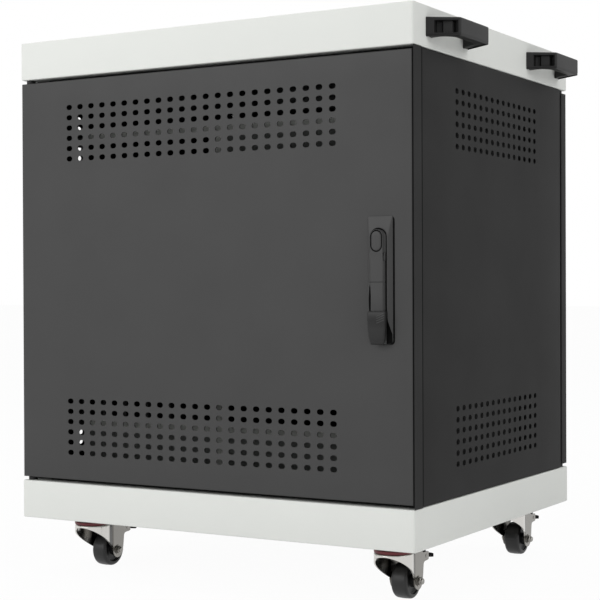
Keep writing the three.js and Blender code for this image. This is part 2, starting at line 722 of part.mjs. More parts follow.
/** A bow handle on the cover's side: two slanted legs, a bar, and a cored pocket in each leg's outer face. */
function pushHandle(centreY) {
  const wall = BODY_WIDTH / 2 + SEAT;
  const reach = BODY_WIDTH / 2 + PUSH_REACH;
  const foot = PUSH_FOOT_LENGTH / 2;
  const bar = PUSH_BAR_LENGTH / 2;
  const lean = (foot - bar) / (reach - wall);
  const innerFoot = foot - PUSH_LEG;
  const innerBar = innerFoot - lean * (reach - PUSH_BAR - wall);
  const bow = outline([
    [wall, centreY - foot],
    [reach, centreY - bar],
    [reach, centreY + bar],
    [wall, centreY + foot],
    [wall, centreY + innerFoot],
    [reach - PUSH_BAR, centreY + innerBar],
    [reach - PUSH_BAR, centreY - innerBar],
    [wall, centreY - innerFoot],
  ]);
  const middle = (coverBottom + coverTop) / 2;
  const body = prism(bow, "plan", middle - PUSH_HEIGHT / 2, middle + PUSH_HEIGHT / 2);
  const pocketX = (wall + reach) / 2;
  const legFace = (foot + bar) / 2;
  const pockets = [-1, 1].map((side) => {
    const tool = blockGeometry(
      [-PUSH_POCKET_LENGTH / 2, -PUSH_POCKET_DEPTH, -PUSH_POCKET_HEIGHT / 2],
      [PUSH_POCKET_LENGTH / 2, PUSH_POCKET_DEPTH, PUSH_POCKET_HEIGHT / 2],
    );
    tool.rotateZ(-side * Math.atan(lean));
    return solid(tool.translate(pocketX, centreY + side * legFace, middle));
  });
  return cut(body, ...pockets);
}

// Casters, drawn about the swivel axis with the wheel trailing to the rear

const plateTop = CASTER_HEIGHT - SEAT;
const plateBottom = plateTop - PLATE_THICK;
const raceBottom = plateBottom - RACE_DEPTH;
const sealBottom = raceBottom - SEAT - SEAL_HEIGHT;
const crownTop = sealBottom - SEAT;
const forkHalf = WHEEL_WIDTH / 2 + FORK_GAP + FORK_SHEET;
const forkRear = CASTER_TRAIL + FORK_TAIL;
const tailTop = crownTop - FORK_TAIL_DROP;
const brakePinY = forkRear - BRAKE_PIN_INSET;
const brakePinZ = tailTop - FORK_TAIL_HEIGHT / 2;

/** The top plate under the base, with its ball race and the kingpin that carries the fork. */
function casterPlate() {
  const half = PLATE_SIZE / 2;
  const plate = block([-half, -half, plateBottom], [half, half, plateTop]);
  const crownBottom = crownTop - FORK_SHEET;
  const headTop = crownBottom - SEAT;
  const pin = [
    [0, headTop - KINGPIN_HEAD_HEIGHT],
    [KINGPIN_HEAD, headTop - KINGPIN_HEAD_HEIGHT],
    [KINGPIN_HEAD, headTop],
    [KINGPIN_RADIUS, headTop],
    [KINGPIN_RADIUS, raceBottom],
    [RACE_RADIUS, raceBottom],
    [RACE_RADIUS, plateTop - PLATE_THICK / 2],
    [0, plateTop - PLATE_THICK / 2],
  ];
  return join(plate, turned(pin, "z", [0, 0, 0]));
}

function casterSeal() {
  const inner = KINGPIN_RADIUS + SEAT;
  const top = sealBottom + SEAL_HEIGHT;
  const ring = [
    [inner, sealBottom],
    [SEAL_RADIUS, sealBottom],
    [SEAL_RADIUS, top],
    [inner, top],
    [inner, sealBottom],
  ];
  return turned(ring, "z", [0, 0, 0], FINE_STEPS);
}

/** The fork's outline in plan: a half-round front that narrows to two straight side plates. */
function forkPlan(shrink) {
  const radius = CROWN_RADIUS - shrink;
  const half = forkHalf - shrink;
  const shape = new THREE.Shape();
  shape.moveTo(half, forkRear + shrink);
  shape.lineTo(-half, forkRear + shrink);
  shape.lineTo(-half, CASTER_TRAIL - FORK_LOBE);
  shape.absarc(0, 0, radius, Math.PI, 2 * Math.PI);
  shape.lineTo(half, CASTER_TRAIL - FORK_LOBE);
  return shape;
}

/** The fork's outline from the side: a skirt that slopes down to a lobe round the axle, and a low tail. */
function forkSide() {
  const skirt = crownTop - FORK_SHEET - CROWN_SKIRT;
  const lobeFront = CASTER_TRAIL - FORK_LOBE;
  const waist = CASTER_TRAIL + FORK_LOBE;
  const crownRear = CASTER_TRAIL + CROWN_REAR;
  const tailBottom = tailTop - FORK_TAIL_HEIGHT;
  const shape = new THREE.Shape();
  shape.moveTo(-CROWN_RADIUS - CUT, crownTop);
  shape.lineTo(-CROWN_RADIUS - CUT, skirt);
  shape.lineTo(-CROWN_RADIUS, skirt);
  shape.lineTo(lobeFront, WHEEL_RADIUS + FORK_EDGE_RISE);
  shape.lineTo(lobeFront, WHEEL_RADIUS);
  shape.absarc(CASTER_TRAIL, WHEEL_RADIUS, FORK_LOBE, Math.PI, 2 * Math.PI);
  shape.lineTo(waist, tailBottom - FORK_WAIST_DROP);
  shape.lineTo(forkRear, tailBottom);
  shape.lineTo(forkRear, tailTop);
  shape.lineTo(crownRear + FORK_TAIL_DROP, tailTop);
  shape.lineTo(crownRear, crownTop);
  return shape;
}

function casterFork() {
  const lowest = WHEEL_RADIUS - FORK_LOBE - CUT;
  const outer = prism(forkPlan(0), "plan", lowest, crownTop);
  const hollow = prism(forkPlan(FORK_SHEET), "plan", lowest - CUT, crownTop - FORK_SHEET);
  const side = prism(forkSide(), "side", -CROWN_RADIUS - CUT, CROWN_RADIUS + CUT);
  const halfWidth = forkHalf + CUT;
  return cut(
    cut(outer, hollow).intersect(side),
    bore(KINGPIN_RADIUS, crownTop - FORK_SHEET - CUT, crownTop + CUT, "z", [0, 0, 0]),
    bore(AXLE_RADIUS, -halfWidth, halfWidth, "x", [0, CASTER_TRAIL, WHEEL_RADIUS]),
    bore(BRAKE_PIN_RADIUS, -halfWidth, halfWidth, "x", [0, brakePinY, brakePinZ]),
  );
}

function casterAxle() {
  const end = forkHalf + SEAT + AXLE_HEAD;
  const profile = [
    [0, -end],
    [AXLE_HEAD_RADIUS, -end],
    [AXLE_HEAD_RADIUS, -end + AXLE_HEAD],
    [AXLE_RADIUS, -end + AXLE_HEAD],
    [AXLE_RADIUS, end - AXLE_HEAD],
    [AXLE_HEAD_RADIUS, end - AXLE_HEAD],
    [AXLE_HEAD_RADIUS, end],
    [0, end],
  ];
  return turned(profile, "x", [0, CASTER_TRAIL, WHEEL_RADIUS]);
}

/** The wheel: a tread with rounded shoulders and a hub that spaces it between the side plates. */
function casterWheel() {
  const boreRadius = AXLE_RADIUS + SEAT;
  const half = WHEEL_WIDTH / 2;
  const hub = half + FORK_GAP - SEAT;
  const shoulder = WHEEL_RADIUS - WHEEL_ROUND;
  const profile = [
    [boreRadius, -hub],
    [HUB_RADIUS, -hub],
    [HUB_RADIUS, -half],
    [shoulder, -half],
    [WHEEL_RADIUS, -half + WHEEL_ROUND],
    [WHEEL_RADIUS, half - WHEEL_ROUND],
    [shoulder, half],
    [HUB_RADIUS, half],
    [HUB_RADIUS, hub],
    [boreRadius, hub],
    [boreRadius, -hub],
  ];
  return turned(profile, "x", [0, CASTER_TRAIL, WHEEL_RADIUS], FINE_STEPS);
}

/** The brake pedal: a neck on a cross pin between the side plates, with a foot bar behind the fork. */
function casterBrake() {
  const low = brakePinZ - BRAKE_THICK / 2;
  const high = brakePinZ + BRAKE_THICK / 2;
  const barFront = forkRear + FORK_SHEET;
  const neck = block(
    [-BRAKE_NECK_WIDTH / 2, brakePinY - BRAKE_THICK / 2, low],
    [BRAKE_NECK_WIDTH / 2, barFront + CUT, high],
  );
  const bar = block([-BRAKE_WIDTH / 2, barFront, low], [BRAKE_WIDTH / 2, barFront + BRAKE_BAR, high]);
  const pin = rod(BRAKE_PIN_RADIUS, -forkHalf, forkHalf, "x", [0, brakePinY, brakePinZ]);
  return join(neck, bar, pin);
}

function caster(name, x, y) {
  const group = new THREE.Group();
  group.add(
    piece(`${name}_plate`, casterPlate(), "zincSteel"),
    piece(`${name}_seal`, casterSeal(), "redSeal"),
    piece(`${name}_fork`, casterFork(), "nickel"),
    piece(`${name}_axle`, casterAxle(), "zincSteel"),
    piece(`${name}_wheel`, casterWheel(), "wheelTread"),
    piece(`${name}_brake`, casterBrake(), "blackPlastic"),
  );
  group.position.set(x, y, 0);
  return group;
}

// The whole cart

const cart = new THREE.Group();
cart.position.x = -PUSH_REACH / 2;
cart.add(
  piece("top_cover", lippedTray(coverBottom, coverTop, false), "paleSteel"),
  piece("base_tray", baseTray(), "paleSteel"),
  piece("floor_panel", floorPanel(), "darkSteel"),
  piece("side_panel_left", sidePanel(-1), "darkSteel"),
  piece("side_panel_right", sidePanel(1), "darkSteel"),
  piece("inner_wall_left", innerWall(-1), "darkSteel"),
  piece("inner_wall_right", innerWall(1), "darkSteel"),
  piece("device_rack", deviceRack(), "darkSteel"),
  piece("centre_partition", centrePartition(), "darkSteel"),
  piece("upper_shelf", upperShelf(), "darkSteel"),
  piece("bay_back_wall", bayBackWall(), "darkSteel"),
  piece("power_strip", powerStrip(), "blackPlastic"),
  piece("power_switch", powerSwitch(), "blackPlastic"),
  piece("mains_inlet", mainsInlet(), "blackPlastic"),
  piece("push_handle_front", pushHandle(PUSH_INSET - BODY_DEPTH / 2), "blackPlastic"),
  piece("push_handle_rear", pushHandle(BODY_DEPTH / 2 - PUSH_INSET), "blackPlastic"),
  cabinetEnd("front"),
  cabinetEnd("rear"),
);

for (const [end, along] of [["front", -1], ["rear", 1]]) {
  for (const [side, across] of [["left", -1], ["right", 1]]) {
    const x = across * (BODY_WIDTH / 2 - CASTER_INSET_X);
    const y = along * (BODY_DEPTH / 2 - CASTER_INSET_Y);
    cart.add(caster(`caster_${end}_${side}`, x, y));
  }
}

export default cart;
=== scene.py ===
"""Looks of a laptop charging cart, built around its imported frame.

Shapes are worked out in millimetres about the cabinet's middle, with +Z up and the front door towards -Y,
and become metres in the frame when a piece is made.
"""

import json
import logging
import math
from collections.abc import Sequence
from dataclasses import dataclass, field
from enum import Enum
from functools import partial

import bpy
import numpy as np
from mathutils import Matrix, Vector
from numpy.typing import NDArray


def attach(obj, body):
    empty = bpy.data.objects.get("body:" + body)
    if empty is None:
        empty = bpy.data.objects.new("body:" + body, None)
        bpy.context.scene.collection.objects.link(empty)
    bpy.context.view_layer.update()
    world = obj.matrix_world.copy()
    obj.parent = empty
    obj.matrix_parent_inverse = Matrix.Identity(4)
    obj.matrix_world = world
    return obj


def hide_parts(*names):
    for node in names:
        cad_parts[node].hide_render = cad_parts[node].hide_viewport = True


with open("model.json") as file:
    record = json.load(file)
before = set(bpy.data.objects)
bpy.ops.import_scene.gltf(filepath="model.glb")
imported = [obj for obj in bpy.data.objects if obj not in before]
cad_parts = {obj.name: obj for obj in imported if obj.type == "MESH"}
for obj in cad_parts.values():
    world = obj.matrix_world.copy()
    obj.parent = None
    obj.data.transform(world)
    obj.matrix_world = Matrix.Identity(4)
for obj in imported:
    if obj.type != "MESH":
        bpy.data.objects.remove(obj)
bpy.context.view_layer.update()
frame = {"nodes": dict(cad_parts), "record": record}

Points = NDArray[np.float64]
Numbers = NDArray[np.int64]
Span = tuple[float, float]
Place = tuple[float, float, float]
Levels = Sequence[float] | Points
LOG = logging.getLogger("charging_cart")
MM = 0.001
BODY_SHIFT = np.array([-20.0, 0.0, 0.0])  # the push handles stand out on one side only
MIX_NEAR, MIX_FAR, MIX_RESULT = 6, 7, 2  # colour sockets of the mix node, whose names aren't unique
LEAST_RADIUS = 0.05  # keeps the points of a round corner apart
CUT_REACH = 5.0  # how far a cutter reaches past a sheet
SIDEWAYS = 0.7  # a face looks to the left or right where its normal leans further than this
HANDLE_ALONG = 172.0
CASTER_ACROSS = 255.0
CASTER_ALONG = 197.0


class End(Enum):
    """An end of the cabinet, with the sign that turns front shapes to it."""

    FRONT = 1
    REAR = -1

    @property
    def word(self) -> str:
        """The end's name as the nodes spell it."""
        return self.name.lower()

    @property
    def turn(self) -> Points:
        """Half a turn about the cabinet's upright middle for the rear, none for the front."""
        return np.diag([float(self.value), float(self.value), 1.0])


class Axis(Enum):
    """The way a turned piece stands, as the rotation that carries +Z to it."""

    X = ((0, 0, 1), (1, 0, 0), (0, 1, 0))
    Y = ((1, 0, 0), (0, 0, 1), (0, -1, 0))
    Z = ((1, 0, 0), (0, 1, 0), (0, 0, 1))

    @property
    def matrix(self) -> Points:
        """The rotation as an array."""
        return np.array(self.value, float)


# Finishes


def linear(code: str) -> tuple[float, float, float, float]:
    """Turn an sRGB hex colour to linear light.

    Args:
        code: six hex digits after a hash sign.

    Returns:
        Linear red, green and blue, and full opacity.
    """
    parts = [int(code[k : k + 2], 16) / 255 for k in (1, 3, 5)]
    red, green, blue = (p / 12.92 if p <= 0.04045 else ((p + 0.055) / 1.055) ** 2.4 for p in parts)
    return red, green, blue, 1.0


def add_node(tree: bpy.types.NodeTree, kind: str, settings: dict | None = None, links: dict | None = None):
    """Add a node to a tree.

    Args:
        tree: the tree that gets the node.
        kind: the node's type name.
        settings: values by input name or index, or by property name.
        links: output sockets by the name or index of the input that they feed.

    Returns:
        The new node.
    """
    node = tree.nodes.new(kind)
    for name, value in (settings or {}).items():
        if isinstance(name, str) and name not in node.inputs:
            setattr(node, name, value)
    for name, value in (settings or {}).items():
        if not isinstance(name, str) or name in node.inputs:
            node.inputs[name].default_value = value
    for name, socket in (links or {}).items():
        tree.links.new(socket, node.inputs[name])
    return node


def empty_tree(owner: bpy.types.Material | bpy.types.World) -> bpy.types.NodeTree:
    """Give a material or world an empty node tree.

    Args:
        owner: the material or world.

    Returns:
        Its tree.
    """
    owner.use_nodes = True
    owner.node_tree.nodes.clear()
    return owner.node_tree


@dataclass(frozen=True)
class Finish:
    """A surface with a fine grain, drawn in the piece's own coordinates.

    The grain is noise of grain_mm across that gives bump, and the tone is broad noise of tone_mm across that
    moves the colour between two close values and the roughness a little either way. Where tone_attribute is
    named, the colour follows that attribute of the piece's points instead.
    """

    name: str
    slot: str
    colour: str
    colour_far: str
    roughness: float
    roughness_spread: float = 0.05
    roughness_least: float = 0.02
    metallic: float = 0.0
    ior: float = 1.5
    specular: float = 0.5
    grain_mm: float = 1.2
    grain_depth_mm: float = 0.05
    grain_strength: float = 0.3
    stretch: Place = (1.0, 1.0, 1.0)
    tone_mm: float = 90.0
    tone_attribute: str = ""

    def material(self) -> bpy.types.Material:
        """Give the finish as a material, made once.

        Returns:
            The material.
        """
        made = bpy.data.materials.get(self.name)
        if made:
            return made
        made = bpy.data.materials.new(self.name)
        add = partial(add_node, empty_tree(made))
        place = add("ShaderNodeTexCoord")
        mapped = add("ShaderNodeMapping", {"Scale": self.stretch}, {"Vector": place.outputs["Object"]})
        spot = {"Vector": mapped.outputs["Vector"]}
        tone = add("ShaderNodeTexNoise", {"Scale": 1 / (self.tone_mm * MM), "Detail": 3.0}, spot)
        fine = {"Scale": 1 / (self.grain_mm * MM), "Detail": 2.0, "Roughness": 0.6}
        grain = add("ShaderNodeTexNoise", fine, spot)
        drawn = tone
        if self.tone_attribute:
            drawn = add("ShaderNodeAttribute", {"attribute_name": self.tone_attribute})
        tones = {MIX_NEAR: linear(self.colour), MIX_FAR: linear(self.colour_far)}
        mixing = {"data_type": "RGBA", "clamp_factor": False, **tones}
        colour = add("ShaderNodeMix", mixing, {0: drawn.outputs["Fac"]})
        low, high = around(self.roughness, self.roughness_spread)
        limits = {"To Min": max(low, self.roughness_least), "To Max": high}
        rough = add("ShaderNodeMapRange", limits, {"Value": tone.outputs["Fac"]})
        relief = {"Strength": self.grain_strength, "Distance": self.grain_depth_mm * MM}
        bump = add("ShaderNodeBump", relief, {"Height": grain.outputs["Fac"]})
        shader = add(
            "ShaderNodeBsdfPrincipled",
            {"Metallic": self.metallic, "IOR": self.ior, "Specular IOR Level": self.specular},
            {
                "Base Color": colour.outputs[MIX_RESULT],
                "Roughness": rough.outputs["Result"],
                "Normal": bump.outputs["Normal"],
            },
        )
        add("ShaderNodeOutputMaterial", links={"Surface": shader.outputs["BSDF"]})
        return made


# Polyester powder coat, baked on folded steel: a satin skin with an orange-peel ripple of about 1.5 mm.
PALE_COAT = Finish(
    "pale_grey_powder_coat", "pale_steel", "#e4e6e2", "#e0e2de", 0.6,
    ior=1.4, specular=0.3, grain_mm=1.5, grain_strength=0.12,
)
# The same coat in charcoal with a fine sand texture, drawn at 1.1 mm so that it still shows.
DARK_COAT = Finish(
    "charcoal_powder_coat", "dark_steel", "#404040", "#3c3c3c", 0.55,
    ior=1.33, grain_mm=1.1, grain_strength=0.25,
)
# The same charcoal coat with less sheen and a darker colour: painted shade that makes the fixed panels and
# sides look darker than the doors.
SHADED_COAT = Finish(
    "charcoal_coat_painted_shade", "dark_steel", "#2d2d2d", "#292929", 0.7,
    specular=0.12, grain_mm=1.1, grain_strength=0.25,
)
# Light grey coat on the shelf rails, paler than the charcoal inside: painted light, so that they show lit
# through the slots.
RAIL_COAT_PAINTED_LIGHT = Finish(
    "light_grey_rail_coat", "dark_steel", "#949692", "#8e908c", 0.5, grain_mm=1.3, grain_strength=0.12
)
# Middle grey coat on the plates behind the slots: it shows as a dark grey there, not as black.
SHEET_COAT = Finish(
    "middle_grey_coat", "dark_steel", "#545654", "#4f514f", 0.6,
    specular=0.2, grain_mm=1.3, grain_strength=0.12,
)
# Glass-filled nylon, moulded against a spark-eroded tool: a dull even grain.
BLACK_NYLON = Finish(
    "moulded_black_nylon", "black_plastic", "#222222", "#1e1e1e", 0.5, ior=1.4, specular=0.35, grain_mm=0.9
)
# Polyamide of the swing handle, moulded with a finer grain than the nylon.
LOCK_GREY = Finish(
    "moulded_grey_polyamide", "lock_plastic", "#404040", "#3c3c3c", 0.48,
    ior=1.4, specular=0.35, grain_mm=0.8, grain_strength=0.18,
)
# The same polyamide on the grip, where the mould is darker and smoother.
LOCK_DARK = Finish(
    "moulded_dark_polyamide", "lock_plastic", "#262626", "#232323", 0.45,
    ior=1.4, specular=0.35, grain_mm=0.8, grain_strength=0.15,
)
# Black rubber on the pedals. The same near-black also fills joints and hollows as painted shade: the lock's
# rim, lever plate, scoop and button groove, and the seam beads.
RUBBER_AND_SHADE = Finish("black_rubber", "black_plastic", "#0f0f0f", "#0c0c0c", 0.9, specular=0.1, grain_mm=0.8)
# Pressed steel with bright nickel, with faint drawing lines along the press stroke. Its colour follows the
# attribute as painted reflection: bright on the drawn skirt, darker on the flat plates, darkest in the fold.
NICKEL = Finish(
    "bright_nickel_plate", "nickel_steel", "#cfcdc9", "#8a8884", 0.2, roughness_spread=0.04, metallic=1.0,
    grain_mm=1.6, grain_depth_mm=0.02, grain_strength=0.12, stretch=(1.0, 1.0, 0.12), tone_mm=14.0,
    tone_attribute="dullness",
)
# Zinc plate on turned and stamped steel: grey metal with a dull bloom.
ZINC = Finish(
    "zinc_plate", "zinc_steel", "#9a9894", "#8c8a86", 0.34,
    roughness_spread=0.08, metallic=1.0, grain_mm=0.7, grain_strength=0.15, tone_mm=8.0,
)
# Moulded acetal dust seal, dark red.
SEAL_RED = Finish("moulded_red_acetal", "red_seal", "#6e1620", "#60121a", 0.4, grain_mm=0.8, tone_mm=12.0)
# Nylon wheel, turned after moulding: black with a soft sheen.
WHEEL_BLACK = Finish(
    "turned_black_nylon", "wheel_tread", "#1e1e1e", "#1b1b1b", 0.42,
    specular=0.4, grain_mm=0.9, grain_strength=0.12, tone_mm=12.0,
)

# The frame's dark_steel nodes take the charcoal coat that is darkened as painted shade.
CAD_FINISHES = {
    finish.slot: finish
    for finish in (PALE_COAT, SHADED_COAT, BLACK_NYLON, LOCK_GREY, NICKEL, ZINC, SEAL_RED, WHEEL_BLACK)
}


# Shapes


@dataclass
class Surface:
    """Points in millimetres and the faces between them."""

    points: Points
    faces: list[list[int]]

    def turned(self, matrix: Points) -> "Surface":
        """The surface after a rotation about the origin."""
        return Surface(self.points @ matrix.T, self.faces)

    def moved(self, by: Place) -> "Surface":
        """The surface at another place."""
        return Surface(self.points + np.array(by, float), self.faces)


def join(surfaces: Sequence[Surface]) -> Surface:
    """Put several surfaces in one: a face's numbers move on by the points that come before it.

    Args:
        surfaces: the surfaces to join.

    Returns:
        One surface with all their points and faces.
    """
    starts = np.cumsum([0] + [len(s.points) for s in surfaces])
    faces = [[k + int(start) for k in face] for s, start in zip(surfaces, starts) for face in s.faces]
    return Surface(np.vstack([s.points for s in surfaces]), faces)


def around(middle: float, half: float) -> Span:
    """The span that reaches as far to each side of its middle."""
    return middle - half, middle + half


def quarter(steps: int) -> tuple[Points, Points]:
    """Sine and cosine along a quarter turn."""
    turn = np.linspace(0, math.pi / 2, steps + 1)
    return np.sin(turn), np.cos(turn)


def grid_faces(rows: int, columns: int, close_rows: bool, close_columns: bool) -> Numbers:
    """List the quads of a grid of points, each from two neighbours in a row and the two in the next row.

    Args:
        rows: number of rows.
        columns: number of points in a row.
        close_rows: whether the last row joins the first.
        close_columns: whether a row's last point joins its first.

    Returns:
        One row of four point numbers for each quad.
    """
    row, column = np.meshgrid(
        np.arange(rows if close_rows else rows - 1),
        np.arange(columns if close_columns else columns - 1),
        indexing="ij",
    )
    next_row, next_column = (row + 1) % rows * columns, (column + 1) % columns
    row = row * columns
    corners = [row + column, row + next_column, next_row + next_column, next_row + column]
    return np.stack(corners, -1).reshape(-1, 4)


def loft(rings: Points, cap_start: bool = True, cap_end: bool = True, closed: bool = False) -> Surface:
    """Stretch a skin over closed rings: quads join each ring to the next, and a flat face fills each end.

    Args:
        rings: rings by points by three, each ring counter-clockwise about the way the rings go.
        cap_start: whether a face fills the first ring.
        cap_end: whether a face fills the last ring.
        closed: whether the last ring joins the first.

    Returns:
        The skin.
    """
    count, size = rings.shape[:2]
    faces = grid_faces(count, size, closed, True).tolist()
    if cap_start and not closed:
        faces.append(list(range(size))[::-1])
    if cap_end and not closed:
        faces.append(list(range((count - 1) * size, count * size)))
    return Surface(rings.reshape(-1, 3), faces)


def rounded_loop(half_x: float, half_y: float, radius: float | tuple, steps: int = 6) -> Points:
    """A rounded rectangle: the four corner centres, each plus a quarter of a circle.

    Args:
        half_x: half the width.
        half_y: half the depth.
        radius: one corner radius, or one for each corner counter-clockwise from the upper right.
        steps: segments in a corner.

    Returns:
        Points of two, counter-clockwise from the right.
    """
    radii = np.minimum(np.broadcast_to(np.array(radius, float), 4), min(half_x, half_y))[:, None]
    angle = np.arange(4)[:, None] * math.pi / 2 + np.linspace(0, math.pi / 2, steps + 1)[None, :]
    side_x, side_y = np.array([[1], [-1], [-1], [1]]), np.array([[1], [1], [-1], [-1]])
    x = side_x * (half_x - radii) + radii * np.cos(angle)
    y = side_y * (half_y - radii) + radii * np.sin(angle)
    return np.stack([x, y], -1).reshape(-1, 2)


def tall_loop(half: float, low: float, high: float, radius: float | tuple, steps: int) -> Points:
    """A rounded rectangle about the upright line, between two levels."""
    return rounded_loop(half, (high - low) / 2, radius, steps) + [0, (high + low) / 2]


def arc(radius: float, start_deg: float, end_deg: float, steps: int) -> Points:
    """Points of a circle about zero between two angles."""
    angle = np.radians(np.linspace(start_deg, end_deg, steps + 1))
    return radius * np.stack([np.cos(angle), np.sin(angle)], -1)


def circle(radius: float, steps: int) -> Points:
    """Points of a whole circle about zero, each once."""
    return arc(radius, 0, 360 * (steps - 1) / steps, steps - 1)


def at_levels(loops: Points, levels: Levels) -> Points:
    """Flat loops as rings, each at its level."""
    lifted = np.broadcast_to(np.array(levels, float)[:, None, None], (*loops.shape[:2], 1))
    return np.concatenate([loops, lifted], -1)


def stacked(loops: list[Points], levels: Levels, start: bool = True, end: bool = True) -> Surface:
    """A skin over flat loops, each at its level, with a face over its start and its end or without."""
    return loft(at_levels(np.array(loops), levels), start, end)


def lathe(profile: Sequence[Span], steps: int, axis: Axis, ring: bool = False) -> Surface:
    """Turn a profile of (radius, level) points about an axis: each level's ring is its radius times a circle.

    Args:
        profile: points from one end to the other.
        steps: facets around.
        axis: the way the piece stands.
        ring: whether the profile closes on itself.

    Returns:
        The turned piece.
    """
    radii, levels = np.array(profile, float).T
    rings = at_levels(radii[:, None, None] * circle(1.0, steps), levels)
    return loft(rings, closed=ring).turned(axis.matrix)


def rounded_wall(low: float, high: float, edge: float, steps: int) -> tuple[Points, Points]:
    """Follow a wall between two round edges, a quarter circle at its foot and one at its top.

    Args:
        low: level of its foot.
        high: level of its top.
        edge: radius of the edges.
        steps: segments in an edge.

    Returns:
        How far each ring lies in from the wall, and each ring's level.
    """
    sine, cosine = quarter(steps)
    inset, rise = edge * (1 - sine), edge * (1 - cosine)
    return np.concatenate([inset, inset[::-1]]), np.concatenate([low + rise, high - rise[::-1]])


def block(x: Span, y: Span, z: Span, radius: float, edge: float) -> Surface:
    """A block with round upright corners of one radius and rounded top and bottom edges.

    Args:
        x: its left and right side.
        y: its near and far side.
        z: its lower and upper level.
        radius: radius of the upright corners.
        edge: radius of the top and bottom edges.

    Returns:
        The block.
    """
    half_x, half_y = (x[1] - x[0]) / 2, (y[1] - y[0]) / 2
    insets, levels = rounded_wall(*z, edge, 3)
    loops = [rounded_loop(half_x - d, half_y - d, max(radius - d, LEAST_RADIUS), 4) for d in insets]
    return stacked(loops, levels).moved((sum(x) / 2, sum(y) / 2, 0.0))


def straight_tube(start: Place, end: Place, radius: float, steps: int = 8) -> Surface:
    """A round bar with domed ends: circles across the line between two points.

    Args:
        start: the line's first point.
        end: its last point.
        radius: the bar's radius.
        steps: facets around.

    Returns:
        The bar.
    """
    tip, dome = 0.55, 0.6 * radius  # what the ends keep of the radius, and how long the domes are
    first, last = np.array(start, float), np.array(end, float)
    along = (last - first) / np.linalg.norm(last - first)
    side = np.cross([0.0, 1.0, 0.0] if abs(along[0]) >= 0.9 else [1.0, 0.0, 0.0], along)
    side /= np.linalg.norm(side)
    loop = circle(radius, steps) @ np.stack([side, np.cross(along, side)])
    shares = np.array([tip, 1.0, 1.0, tip])
    centres = np.stack([first, first + along * dome, last - along * dome, last])
    return loft(centres[:, None, :] + shares[:, None, None] * loop)


# Pieces


def put(name: str, data: bpy.types.ID) -> bpy.types.Object:
    """Put data in the scene as an object at the origin.

    Args:
        name: the object's name.
        data: its mesh, lamp or camera.

    Returns:
        The new object.
    """
    made = bpy.data.objects.new(name, data)
    bpy.context.scene.collection.objects.link(made)
    return made


def put_surface(name: str, surface: Surface) -> bpy.types.Object:
    """Put a surface in the scene as a mesh, in the frame's place and in metres.

    Args:
        name: the object's name.
        surface: its shape in millimetres about the cabinet's middle.

    Returns:
        The new object.
    """
    mesh = bpy.data.meshes.new(name)
    mesh.from_pydata(((surface.points + BODY_SHIFT) * MM).tolist(), [], surface.faces)
    return put(name, mesh)


def change(piece: bpy.types.Object, kind: str, **settings) -> None:
    """Change a piece's mesh for good by a modifier.

    Args:
        piece: the piece.
        kind: the modifier's type name.
        settings: the modifier's values by name.
    """
    modifier = piece.modifiers.new(kind.lower(), kind)
    for name, value in settings.items():
        setattr(modifier, name, value)
    view = bpy.context.evaluated_depsgraph_get()
    changed = bpy.data.meshes.new_from_object(piece.evaluated_get(view))
    piece.modifiers.clear()
    piece.data = changed


def make_piece(
    name: str,
    surface: Surface,
    finish: Finish,
    body: str,
    replaced: tuple[str, ...] = (),
    wall: float = 0.0,
    sharp_deg: float = 32.0,
    cutter: Surface | None = None,
    tones: dict[str, Points] | None = None,
    edge: Finish | None = None,
) -> None:
    """Make a piece of the cart and put it on its body.

    Args:
        name: the piece's name.
        surface: its shape in millimetres about the cabinet's middle.
        finish: what covers it.
        body: the body that it moves with.
        replaced: nodes that it stands for.
        wall: sheet thickness, added behind the surface, or none for a closed shape.
        sharp_deg: edges that turn by more than this stay crisp.
        cutter: a closed shape to cut away.
        tones: values by attribute for the finish to read, at the surface's points and then at the wall's.
        edge: a darker finish painted as shade on the faces that look to the left or right, or none for the
            same finish.
    """
    piece = put_surface(name, surface)
    if wall:
        change(piece, "SOLIDIFY", thickness=wall * MM, offset=-1, use_even_offset=True)
    for attribute, values in (tones or {}).items():
        piece.data.attributes.new(attribute, "FLOAT", "POINT").data.foreach_set("value", values)
    if cutter:
        tool = put_surface(name + "_tool", cutter)
        change(piece, "BOOLEAN", object=tool, solver="EXACT")
        bpy.data.objects.remove(tool)
    data = piece.data
    data.polygons.foreach_set("use_smooth", np.ones(len(data.polygons), bool))
    data.set_sharp_from_angle(angle=math.radians(sharp_deg))
    data.materials.clear()
    data.materials.append(finish.material())
    # Faces that look to the left or right take the edge finish: a darker colour painted on as shade.
    if edge:
        data.materials.append(edge.material())
        normals = np.empty(3 * len(data.polygons))
        data.polygons.foreach_get("normal", normals)
        shaded_sides = np.abs(normals.reshape(-1, 3)[:, 0]) > SIDEWAYS
        data.polygons.foreach_set("material_index", shaded_sides.astype(np.int32))
    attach(piece, body)
    if replaced:
        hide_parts(*replaced)
    LOG.info("%s on %s: %d faces", name, body, len(data.polygons))


# Perforated sheets


